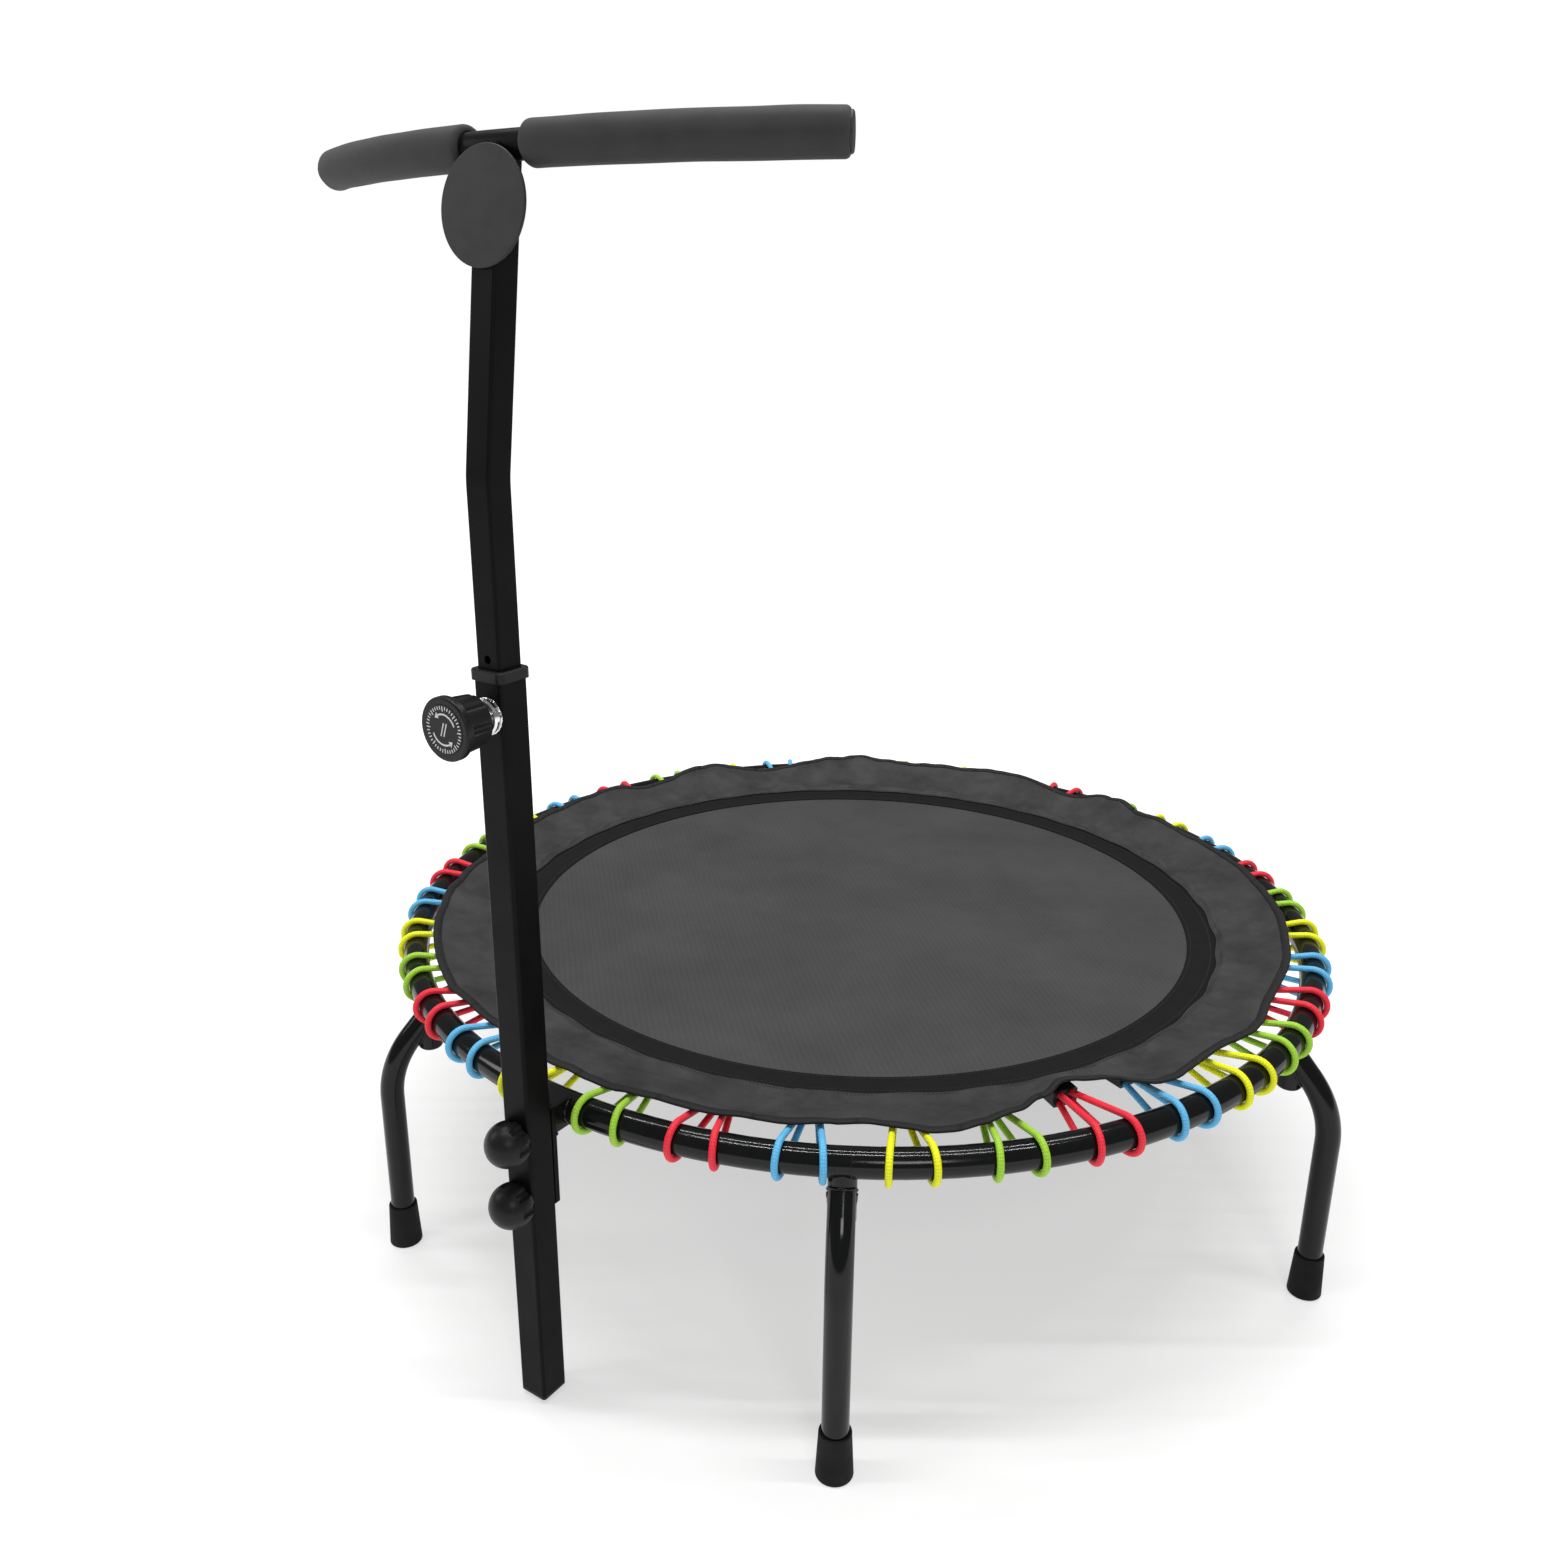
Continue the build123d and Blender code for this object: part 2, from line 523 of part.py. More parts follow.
def build_upper_mast():
    path = FilletPolyline(
        (0, -POST_REACH, MAST_END), (0, -POST_REACH, MAST_KNEE), (0, -BAR_REACH, BAR_HEIGHT), radius=MAST_BEND
    )
    start = Plane(origin=path @ 0, x_dir=(1, 0, 0), z_dir=path % 0)
    mast = sweep(start * square_tube_section(MAST_SIDE, MAST_WALL, MAST_CORNER), path=path)
    mast -= Pos(0, -BAR_REACH, BAR_HEIGHT) * Rot(0, 90, 0) * Cylinder(BAR_TUBE / 2 + NEST_GAP, 2 * MAST_SIDE)
    for height in HOLE_HEIGHTS:
        mast -= outward(rod(HOLE_DIAMETER, -POST_SIDE / 2, 0), height)
    for place in badge_screw_places():
        mast -= badge_plane() * place * rod(BADGE_SCREW + 2 * NEST_GAP, -MAST_WALL - 1, 1)
    save("upper_mast", [mast])

    inside = MAST_SIDE - 2 * MAST_WALL - 2 * NEST_GAP
    cap = Pos(0, 0, -MAST_PLUG_HEAD) * extrude(square_section(MAST_SIDE, MAST_CORNER), MAST_PLUG_HEAD)
    stem = extrude(square_tube_section(inside, TUBE_PLUG_WALL, TUBE_PLUG_CORNER), MAST_PLUG_STEM)
    save("mast_end_plug", [on_post(Pos(0, 0, MAST_END) * (cap + stem))])


def build_badge():
    disc = Cylinder(BADGE / 2, BADGE_THICKNESS, align=BASE)
    disc = fillet(disc.edges(), BADGE_EDGE)
    screws = []
    for place in badge_screw_places():
        disc -= place * rod(BADGE_SCREW + 2 * NEST_GAP, -1, BADGE_THICKNESS / 2 + NEST_GAP)
        head = rod(BADGE_SCREW_HEAD, -MAST_WALL - BADGE_SCREW_HEAD_HEIGHT, -MAST_WALL)
        screws.append(badge_plane() * place * (head + rod(BADGE_SCREW, -MAST_WALL, BADGE_THICKNESS / 2)))
    save("badge_disc", [badge_plane() * disc])
    save("badge_screws", screws)


def bar_arc(section, start, end):
    """Bend a section along the handlebar's arc, between two angles from its middle."""
    centre_y = BAR_RADIUS - BAR_REACH
    seat = Plane(origin=(0, centre_y, BAR_HEIGHT), x_dir=(1, 0, 0), z_dir=(0, 1, 0))
    blank = revolve(seat * Pos(BAR_RADIUS, 0) * section, Axis((0, centre_y, 0), (0, 0, 1)), end - start)
    return Pos(0, centre_y, 0) * Rot(0, 0, start - 90) * Pos(0, -centre_y, 0) * blank


def bar_end_plane(side):
    """The end face of the bar on one side, with +Z outwards along the bar."""
    angle = math.radians(BAR_HALF_ANGLE) * side
    centre = (BAR_RADIUS * math.sin(angle), BAR_RADIUS * (1 - math.cos(angle)) - BAR_REACH, BAR_HEIGHT)
    return Plane(origin=centre, z_dir=(math.cos(angle) * side, math.sin(angle) * side, 0))


def build_handlebar():
    bore = BAR_TUBE - 2 * BAR_WALL
    tube = bar_arc(Circle(BAR_TUBE / 2) - Circle(bore / 2), -BAR_HALF_ANGLE, BAR_HALF_ANGLE)
    save("handlebar_tube", [tube])
    foam = Circle(GRIP / 2) - Circle(BAR_TUBE / 2 + NEST_GAP)
    spans = {"left": (-BAR_HALF_ANGLE, -GRIP_START_ANGLE), "right": (GRIP_START_ANGLE, BAR_HALF_ANGLE)}
    for side, (name, span) in zip((-1, 1), spans.items()):
        save(f"grip_{name}", [bar_arc(foam, *span)])
        head = rod(GRIP - 2 * BAR_PLUG_RIM, 0, BAR_PLUG_HEAD)
        head = fillet(head.edges().group_by(Axis.Z)[-1], BAR_PLUG_EDGE)
        stem = rod(bore - 2 * NEST_GAP, -BAR_PLUG_STEM, 0)
        save(f"bar_plug_{name}", [bar_end_plane(side) * (head + stem)])


# ---------------------------------------------------------------- mat, clips and skirt
def ring_of(inner, outer, bottom, top):
    """A flat ring about the trampoline's axis."""
    return pipe(2 * outer, 2 * inner, bottom, top)


def build_clip():
    """One moulded clip at angle 0, with a slot for its webbing tab."""
    clip = Pos(CLIP_START + CLIP_LENGTH / 2, 0, RING_HEIGHT) * Box(CLIP_LENGTH, CLIP_WIDTH, CLIP_HEIGHT)
    clip = fillet(clip.edges().filter_by(Axis.X), CLIP_EDGE)
    mat_bottom = MAT_TOP - MAT_THICKNESS
    slot = Pos(CLIP_START, 0, mat_bottom - TAB_THICKNESS / 2) * Box(
        2 * (TAB_HOLD + SEAT_GAP), TAB_WIDTH + 2 * SEAT_GAP, TAB_THICKNESS + 2 * NEST_GAP
    )
    return clip - slot


def build_tab():
    """The webbing tab that ties one clip to the underside of the mat's edge."""
    end = CLIP_START + TAB_HOLD
    mat_bottom = MAT_TOP - MAT_THICKNESS
    return Pos(end - TAB_LENGTH / 2, 0, mat_bottom - TAB_THICKNESS / 2) * Box(
        TAB_LENGTH, TAB_WIDTH, TAB_THICKNESS
    )


def lacing_drift(angle):
    """How far a hand-laced group at an even angle strays from it, in degrees."""
    nearness = (1 + math.cos(math.radians(angle - LACING_DRIFT_ANGLE))) / 2
    return LACING_DRIFT * nearness**LACING_DRIFT_FALL


def group_angles():
    even = [FIRST_GROUP + CORD_STEP * index for index in range(CORD_GROUPS)]
    return [angle + lacing_drift(angle) for angle in even]


def build_mat():
    save("jump_mat", [rod(2 * MAT_RADIUS, MAT_TOP - MAT_THICKNESS, MAT_TOP)])
    save("mat_band", [ring_of(MAT_RADIUS - BAND_WIDTH, MAT_RADIUS, MAT_TOP, MAT_TOP + BAND_THICKNESS)])
    clip = build_clip()
    tab = build_tab()
    save("cord_clips", [around(clip, angle) for angle in group_angles()])
    save("clip_tabs", [around(tab, angle) for angle in group_angles()])


def strand_lines(standoff):
    """A strand's plan length from clip to ring, its turn in plan and its slope, in radians."""
    angle = math.radians(WRAP_ANGLE)
    inward = RING_RADIUS * math.cos(angle) - CLIP_END - standoff
    across = RING_RADIUS * math.sin(angle) - STRAND_OFFSET
    reach = math.hypot(inward, across)
    slope = math.asin(WRAP_RADIUS / math.hypot(reach, STRAND_RISE)) - math.atan2(STRAND_RISE, reach)
    return reach, math.atan2(across, inward), slope


def strand_standoff():
    """The gap from a clip's face to a strand's end, which leaves room for the end's slant."""
    _, turn, slope = strand_lines(SEAT_GAP)
    slant = math.sqrt(1 - (math.cos(slope) * math.cos(turn)) ** 2)
    return SEAT_GAP + slant * CORD / 2


def build_wrap(side):
    """One turn of cord over the ring and back, at one side of the group at angle 0."""
    standoff = strand_standoff()
    reach, turn, slope = strand_lines(standoff)
    run = math.sqrt(reach**2 + STRAND_RISE**2 - WRAP_RADIUS**2)
    touch = (run * math.cos(slope), STRAND_RISE + run * math.sin(slope))
    path = (
        Line((0, 0, STRAND_RISE), (touch[0], 0, touch[1]))
        + ThreePointArc((touch[0], 0, touch[1]), (reach + WRAP_RADIUS, 0, 0), (touch[0], 0, -touch[1]))
        + Line((touch[0], 0, -touch[1]), (0, 0, -STRAND_RISE))
    )
    cord = sweep(Plane(origin=path @ 0, z_dir=path % 0) * Circle(CORD / 2), path=path)
    place = Pos(CLIP_END + standoff, side * STRAND_OFFSET, RING_HEIGHT) * Rot(0, 0, side * math.degrees(turn))
    return place * cord


def build_cords():
    wraps = [build_wrap(side) for side in (-1, 1)]
    for index, colour in enumerate(CORD_COLOURS):
        save(f"cords_{colour}", [around(wrap, angle) for angle in colour_angles(index) for wrap in wraps])


def colour_angles(index):
    """The groups of one colour: the colours take turns round the ring."""
    return group_angles()[index :: len(CORD_COLOURS)]


def build_skirt():
    """The cover over the clips and cords, sewn to the band and resting on the cords at its hem."""
    _, _, slope = strand_lines(strand_standoff())
    cord_top = RING_HEIGHT + STRAND_RISE + CORD / 2 / math.cos(slope) + SKIRT_CORD_GAP
    seam_height = MAT_TOP + BAND_THICKNESS + SEAT_GAP
    clip_top = max(RING_HEIGHT + CLIP_HEIGHT / 2 + SEAT_GAP, cord_top)
    hem_height = cord_top + (SKIRT_OUTER - CLIP_END) * math.tan(slope)
    lower = [
        (SKIRT_INNER, seam_height),
        (SKIRT_INNER + SKIRT_SEAM, seam_height),
        (CLIP_START - SKIRT_CLIP_LEAD, clip_top),
        (CLIP_END, clip_top),
        (SKIRT_OUTER, hem_height),
    ]
    upper = [(radius, height + SKIRT_THICKNESS) for radius, height in reversed(lower)]
    outline = make_face(Polyline(*lower, *upper, close=True))
    save("skirt", [revolve(Plane.XZ * outline, Axis.Z, 360)])
    centre = (SKIRT_OUTER + PIPING / 2 + NEST_GAP / 2, hem_height + PIPING / 2 + SEAT_GAP)
    save("skirt_piping", [revolve(Plane.XZ * Pos(*centre) * Circle(PIPING / 2), Axis.Z, 360)])


os.makedirs("parts", exist_ok=True)
build_ring()
build_legs()
build_bracket()
build_post()
build_clamps()
build_pin()
build_upper_mast()
build_badge()
build_handlebar()
build_mat()
build_cords()
build_skirt()
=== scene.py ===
"""Looks of the mini trampoline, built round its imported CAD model. Metres, in the model's own frame:
+Z up, the ring's axis at the origin, and the mast at -Y with its badge facing -Y."""
import math

import bmesh
import bpy
from mathutils import Matrix, Vector, noise


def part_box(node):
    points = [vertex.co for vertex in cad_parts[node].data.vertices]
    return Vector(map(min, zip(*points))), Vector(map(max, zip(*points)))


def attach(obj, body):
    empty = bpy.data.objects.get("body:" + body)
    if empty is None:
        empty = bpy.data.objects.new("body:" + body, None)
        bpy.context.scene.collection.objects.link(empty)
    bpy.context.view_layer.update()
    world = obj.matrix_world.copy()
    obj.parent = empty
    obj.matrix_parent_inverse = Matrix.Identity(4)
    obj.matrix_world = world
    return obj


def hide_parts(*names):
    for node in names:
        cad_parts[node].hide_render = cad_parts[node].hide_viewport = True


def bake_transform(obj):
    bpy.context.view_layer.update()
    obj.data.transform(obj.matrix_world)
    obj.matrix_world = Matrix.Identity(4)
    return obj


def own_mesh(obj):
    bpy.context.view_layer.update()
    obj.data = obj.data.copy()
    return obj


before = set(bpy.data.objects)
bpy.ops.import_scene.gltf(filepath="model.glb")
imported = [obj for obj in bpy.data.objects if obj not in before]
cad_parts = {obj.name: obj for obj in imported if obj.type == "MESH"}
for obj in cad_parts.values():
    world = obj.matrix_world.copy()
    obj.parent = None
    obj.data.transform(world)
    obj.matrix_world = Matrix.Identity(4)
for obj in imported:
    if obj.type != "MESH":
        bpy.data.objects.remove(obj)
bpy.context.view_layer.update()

# ---------------------------------------------------------------- sizes
# Places come from the nodes' boxes. Most other sizes repeat the CAD model's own.
MAT_BODY = "mat"
FRAME_BODY = "frame"
MAST_BODY = "sliding_mast"
PIN_BODY = "pin_body"
KNOB_BODY = "pull_knob"


def node_box(name):
    """The lowest and the highest corner of a node's box."""
    low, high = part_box(name)
    return Vector(low), Vector(high)


rear_low, rear_high = node_box("rim_rear_half")
front_low, _ = node_box("rim_front_half")
RING_TUBE = rear_high.z - rear_low.z
RING_RADIUS = max(rear_high.y, -front_low.y) - RING_TUBE / 2
RING_HEIGHT = (rear_high.z + rear_low.z) / 2

mat_low, mat_high = node_box("jump_mat")
MAT_RADIUS = mat_high.x
MAT_TOP = mat_high.z
MAT_BOTTOM = mat_low.z
_, band_high = node_box("mat_band")
BAND_TOP = band_high.z
BAND_WIDTH = 0.038

_, skirt_high = node_box("skirt")
SKIRT_OUTER = skirt_high.x
SKIRT_INNER = 0.418
HEM_DROP = 0.0018        # from the plain skirt's top to the cloth's underside
HEM_HEIGHT = skirt_high.z - HEM_DROP

_, clips_high = node_box("cord_clips")
CLIP_TOP = clips_high.z
CLIP_START = 0.427
CLIP_END = 0.449
CLIP_HALF_WIDTH = 0.013
TAB_HOLD = 0.0092        # a tab's end inside its clip

GROUPS = 36
GROUP_STEP = 360 / GROUPS
FIRST_GROUP = 5.0
LACING_DRIFT = 1.8       # most that a group strays from even spacing, in degrees
LACING_DRIFT_ANGLE = -35.0
LACING_DRIFT_FALL = 8    # how fast the drift dies away from that angle
CORD_COLOURS = ["red", "blue", "yellow", "green"]
CORD_RADIUS = 0.00325
WRAP_ANGLE = 2.0
STRAND_OFFSET = 0.0062
STRAND_RISE = 0.0045
SEAT_GAP = 0.0003
WRAP_RADIUS = RING_TUBE / 2 + SEAT_GAP + CORD_RADIUS

BAR_HALF_WIDTH = 0.259
BAR_SWEEP = 0.063
BAR_RADIUS = (BAR_HALF_WIDTH**2 + BAR_SWEEP**2) / (2 * BAR_SWEEP)
bar_low, bar_high = node_box("handlebar_tube")
BAR_TUBE = bar_high.z - bar_low.z
BAR_HEIGHT = (bar_high.z + bar_low.z) / 2
BAR_MIDDLE_Y = bar_low.y + BAR_TUBE / 2
GRIP_RADIUS = 0.0165
GRIP_START = 0.031

cap_low, cap_high = node_box("knob_cap")
KNOB_HEIGHT = (cap_low.z + cap_high.z) / 2
KNOB_FACE = cap_low.y
post_low, _ = node_box("lower_post")
nut_low, nut_high = node_box("pin_weld_nut")

SEAM_ANGLE = -59.2
LEG_COUNT = 6
LEG_SLOPE = math.radians(48)
LEG_RADIUS = 0.0125
LEG_REACH = 0.565
LEG_TOP_DROP = 0.0185
SLEEVE_RADIUS = 0.013
LEG_SIDE = LEG_RADIUS / math.cos(LEG_SLOPE)
LEG_EDGE_RUN = LEG_REACH - RING_RADIUS - SLEEVE_RADIUS
LEG_KNEE_HEIGHT = RING_HEIGHT - LEG_TOP_DROP - LEG_SIDE - LEG_EDGE_RUN * math.tan(LEG_SLOPE)


# ---------------------------------------------------------------- materials
class Nodes:
    """A short way to write a node tree that ends in one Principled shader."""

    def __init__(self, name, colour, roughness, **sockets):
        self.material = bpy.data.materials.new(name)
        self.material.use_nodes = True
        self.tree = self.material.node_tree
        self.shader = self.tree.nodes["Principled BSDF"]
        self.shader.inputs["Base Color"].default_value = (*colour, 1)
        self.shader.inputs["Roughness"].default_value = roughness
        for socket, value in sockets.items():
            self.shader.inputs[socket.replace("_", " ")].default_value = value
        self.colour = colour
        self.object_place = self.add("ShaderNodeTexCoord").outputs["Object"]

    def add(self, kind, **values):
        node = self.tree.nodes.new(kind)
        for key, value in values.items():
            setattr(node, key, value)
        return node

    def link(self, source, target):
        self.tree.links.new(source, target)

    def noise(self, scale, detail=4.0, roughness=0.55, place=None):
        node = self.add("ShaderNodeTexNoise")
        node.inputs["Scale"].default_value = scale
        node.inputs["Detail"].default_value = detail
        node.inputs["Roughness"].default_value = roughness
        self.link(place or self.object_place, node.inputs["Vector"])
        return node.outputs["Fac"]

    def maths(self, operation, first, second=None):
        node = self.add("ShaderNodeMath", operation=operation)
        for socket, value in zip(node.inputs, (first, second)):
            if value is None:
                continue
            if isinstance(value, (int, float)):
                socket.default_value = value
            else:
                self.link(value, socket)
        return node.outputs[0]

    def spread(self, value, low, high, out_low=0.0, out_high=1.0):
        node = self.add("ShaderNodeMapRange")
        self.link(value, node.inputs["Value"])
        for socket, number in zip(node.inputs[1:5], (low, high, out_low, out_high)):
            socket.default_value = number
        return node.outputs[0]

    def axes(self, place=None):
        node = self.add("ShaderNodeSeparateXYZ")
        self.link(place or self.object_place, node.inputs[0])
        return node.outputs

    def wave(self, value, pitch):
        """A sine wave of that pitch along a coordinate."""
        return self.maths("SINE", self.maths("MULTIPLY", value, 2 * math.pi / pitch))

    def mix_colour(self, factor, first, second):
        node = self.add("ShaderNodeMix", data_type="RGBA")
        self.link(factor, node.inputs["Factor"])
        for socket, value in zip((node.inputs[6], node.inputs[7]), (first, second)):
            if isinstance(value, tuple):
                socket.default_value = (*value, 1)
            else:
                self.link(value, socket)
        return node.outputs[2]

    def vary_colour(self, factor, darker, lighter):
        """Colour that runs between two multiples of the base colour."""
        ends = [tuple(min(channel * share, 1) for channel in self.colour) for share in (darker, lighter)]
        colour = self.mix_colour(factor, *ends)
        self.link(colour, self.shader.inputs["Base Color"])
        return colour

    def vary_roughness(self, value, low, high):
        self.link(self.spread(value, 0.3, 0.7, low, high), self.shader.inputs["Roughness"])

    def bump(self, height, distance, strength=1.0):
        node = self.add("ShaderNodeBump")
        node.inputs["Strength"].default_value = strength
        node.inputs["Distance"].default_value = distance
        self.link(height, node.inputs["Height"])
        if self.shader.inputs["Normal"].is_linked:
            self.link(self.shader.inputs["Normal"].links[0].from_socket, node.inputs["Normal"])
        self.link(node.outputs[0], self.shader.inputs["Normal"])


def gloss_paint():
    """Gloss black powder coat: slight orange peel, and a thin film of handling dust."""
    n = Nodes("gloss_paint", (0.0040, 0.0043, 0.0043), 0.12, Specular_IOR_Level=0.24)
    dust = n.noise(55, 6)
    n.vary_colour(dust, 0.7, 1.5)
    n.vary_roughness(n.noise(18, 5), 0.09, 0.17)
    n.bump(n.noise(420, 2), 0.00008, 0.5)
    return n.material


def satin_paint():
    """Satin black powder coat with a fine pebble."""
    n = Nodes("satin_paint", (0.0036, 0.0036, 0.0038), 0.40, Specular_IOR_Level=0.07)
    n.vary_colour(n.noise(40, 6), 0.75, 1.5)
    n.vary_roughness(n.noise(24, 4), 0.36, 0.5)
    n.bump(n.noise(1500, 3), 0.00006, 0.6)
    return n.material


def moulded_plastic(name, colour, roughness, grain=1400):
    """Moulded plastic with a spark-eroded grain and slight wear."""
    n = Nodes(name, colour, roughness, Specular_IOR_Level=0.18)
    n.vary_colour(n.noise(60, 5), 0.8, 1.35)
    n.vary_roughness(n.noise(35, 5), roughness - 0.06, roughness + 0.08)
    n.bump(n.noise(grain, 3), 0.00007, 0.7)
    return n.material


def rubber():
    n = Nodes("foot_rubber", (0.008, 0.0082, 0.0082), 0.68, Specular_IOR_Level=0.12)
    n.vary_colour(n.noise(30, 6), 0.7, 1.9)
    n.vary_roughness(n.noise(50, 5), 0.55, 0.8)
    n.bump(n.noise(900, 4), 0.00012, 0.8)
    return n.material


def bright_metal(name, colour, roughness):
    """Plated steel with fine brush lines round each turned part."""
    n = Nodes(name, colour, roughness, Metallic=1.0)
    n.vary_colour(n.noise(160, 5), 0.82, 1.08)
    n.vary_roughness(n.noise(220, 5), roughness - 0.06, roughness + 0.1)
    n.bump(n.noise(2600, 2), 0.00003, 0.5)
    return n.material


def foam():
    """Closed-cell foam: matte skin with fine pores."""
    sheen = {"Sheen_Weight": 0.05, "Sheen_Roughness": 0.5}
    n = Nodes("grip_foam", (0.030, 0.0302, 0.0306), 0.78, Specular_IOR_Level=0.2, **sheen)
    n.vary_colour(n.noise(45, 6), 0.82, 1.25)
    cells = n.add("ShaderNodeTexVoronoi", feature="DISTANCE_TO_EDGE")
    cells.inputs["Scale"].default_value = 900
    n.link(n.object_place, cells.inputs["Vector"])
    n.bump(cells.outputs["Distance"], 0.00016, 0.55)
    n.bump(n.noise(120, 4), 0.0003, 0.35)
    return n.material


def mat_weave():
    """Taut woven polypropylene: a fine plain weave of flat yarns, with a soft sheen."""
    n = Nodes("mat_weave", (0.044, 0.0442, 0.0445), 0.62, Specular_IOR_Level=0.2)
    x, y, _ = n.axes()
    warp = n.wave(x, 0.0021)
    weft = n.wave(y, 0.0021)
    weave = n.maths("MULTIPLY", warp, weft)
    height = n.spread(weave, -1, 1)
    yarn = n.noise(900, 2)
    twill = n.spread(n.wave(n.maths("ADD", x, y), 0.0085), -1, 1)
    cloudy = n.spread(n.noise(9, 6, 0.62), 0.3, 0.7)
    shade = n.maths("ADD", n.maths("MULTIPLY", height, 0.35), n.maths("MULTIPLY", yarn, 0.25))
    shade = n.maths("ADD", shade, n.maths("MULTIPLY", twill, 0.12))
    shade = n.maths("ADD", shade, n.maths("MULTIPLY", cloudy, 0.34))
    n.vary_colour(shade, 0.55, 1.5)
    n.vary_roughness(n.noise(60, 4), 0.52, 0.7)
    n.bump(height, 0.00022, 0.7)
    n.bump(n.noise(14, 3), 0.0012, 0.25)
    return n.material


def polar_weave(name, colour, roughness, pitch, lift):
    """Woven tape laid round the ring's axis: ribs across it and fine yarns along it."""
    n = Nodes(name, colour, roughness, Specular_IOR_Level=0.1)
    x, y, _ = n.axes()
    angle = n.maths("ARCTAN2", y, x)
    radius = n.maths("SQRT", n.maths("ADD", n.maths("MULTIPLY", x, x), n.maths("MULTIPLY", y, y)))
    band_middle = 0.405
    ribs = n.wave(n.maths("MULTIPLY", angle, band_middle), pitch)
    yarns = n.wave(radius, pitch * 0.8)
    height = n.spread(n.maths("MULTIPLY", ribs, yarns), -1, 1)
    shade = n.maths("ADD", n.maths("MULTIPLY", height, 0.5), n.maths("MULTIPLY", n.noise(55, 5), 0.5))
    n.vary_colour(shade, 0.6, 1.6)
    n.bump(height, lift, 0.8)
    return n.material


def skirt_cloth():
    """Coated polyester: fine oxford weave, blotchy patches of painted sheen in its colour, and small
    wrinkles.
    """
    n = Nodes("skirt_cloth", (0.030, 0.030, 0.0305), 0.6, Specular_IOR_Level=0.2)
    x, y, _ = n.axes()
    weave = n.maths("MULTIPLY", n.wave(x, 0.0016), n.wave(y, 0.0016))
    height = n.spread(weave, -1, 1)
    # Painted sheen: blotchy lighter and darker patches in the colour stand in for the coated cloth's uneven
    # sheen.
    painted_sheen_patches = n.noise(17, 7, 0.66)
    shade = n.maths("ADD", n.maths("MULTIPLY", height, 0.2), n.spread(painted_sheen_patches, 0.32, 0.68, 0, 0.8))
    n.vary_colour(shade, 0.6, 1.7)
    n.vary_roughness(n.noise(22, 5), 0.48, 0.72)
    n.bump(height, 0.00015, 0.6)
    n.bump(n.noise(38, 5, 0.6), 0.0022, 0.5)
    n.bump(n.noise(110, 4, 0.6), 0.0007, 0.35)
    return n.material


def binding_cloth():
    n = Nodes("binding_cloth", (0.012, 0.012, 0.0122), 0.72, Specular_IOR_Level=0.25)
    n.vary_colour(n.noise(600, 3), 0.6, 1.7)
    n.bump(n.noise(1300, 3), 0.00025, 0.8)
    return n.material


def cord_sheath(name, colour):
    """A braided sheath: diamonds of yarn wound both ways round the cord. U runs along it in
    millimetres and V once round it."""
    n = Nodes(name, colour, 0.5, Specular_IOR_Level=0.3)
    uv = n.add("ShaderNodeUVMap", uv_map="UVMap").outputs[0]
    along, round_it, _ = n.axes(uv)
    strand = n.maths("MULTIPLY", round_it, 6.0)
    run = n.maths("MULTIPLY", along, 1 / 5.2)
    right = n.wave(n.maths("ADD", run, strand), 1.0)
    left = n.wave(n.maths("SUBTRACT", run, strand), 1.0)
    braid = n.spread(n.maths("MULTIPLY", right, left), -0.6, 0.8)
    fuzz = n.noise(1500, 2)
    shade = n.maths("ADD", n.maths("MULTIPLY", braid, 0.75), n.maths("MULTIPLY", fuzz, 0.3))
    n.vary_colour(shade, 0.78, 1.14)
    n.bump(braid, 0.00035, 0.8)
    n.bump(fuzz, 0.0001, 0.4)
    return n.material


def thread(name, colour):
    n = Nodes(name, colour, 0.6, Specular_IOR_Level=0.3)
    n.vary_colour(n.noise(2200, 2), 0.7, 1.3)
    n.bump(n.noise(2600, 2), 0.0001, 0.6)
    return n.material


def printed_white():
    n = Nodes("printed_white", (0.62, 0.62, 0.61), 0.5, Specular_IOR_Level=0.4)
    n.vary_colour(n.noise(700, 4), 0.75, 1.15)
    n.bump(n.noise(1400, 3), 0.00005, 0.5)
    return n.material


GLOSS = gloss_paint()
SATIN = satin_paint()
PLASTIC = moulded_plastic("black_plastic", (0.009, 0.009, 0.0092), 0.36)
BADGE_PLASTIC = moulded_plastic("badge_plastic", (0.026, 0.0262, 0.0268), 0.46, 1000)
RUBBER = rubber()
ZINC = bright_metal("zinc_plate", (0.55, 0.56, 0.57), 0.34)
CHROME = bright_metal("chrome_plate", (0.72, 0.72, 0.74), 0.14)
FOAM = foam()
MAT_CLOTH = mat_weave()
BAND_CLOTH = polar_weave("band_webbing", (0.0078, 0.0078, 0.0080), 0.75, 0.0024, 0.0002)
SKIRT_CLOTH = skirt_cloth()
BINDING = binding_cloth()
BLACK_THREAD = thread("black_thread", (0.02, 0.02, 0.021))
PRINT = printed_white()
SHEATHS = {
    "red": cord_sheath("sheath_red", (0.88, 0.028, 0.055)),
    "blue": cord_sheath("sheath_blue", (0.12, 0.48, 0.80)),
    "yellow": cord_sheath("sheath_yellow", (0.86, 0.90, 0.010)),
    "green": cord_sheath("sheath_green", (0.36, 0.66, 0.045)),
}

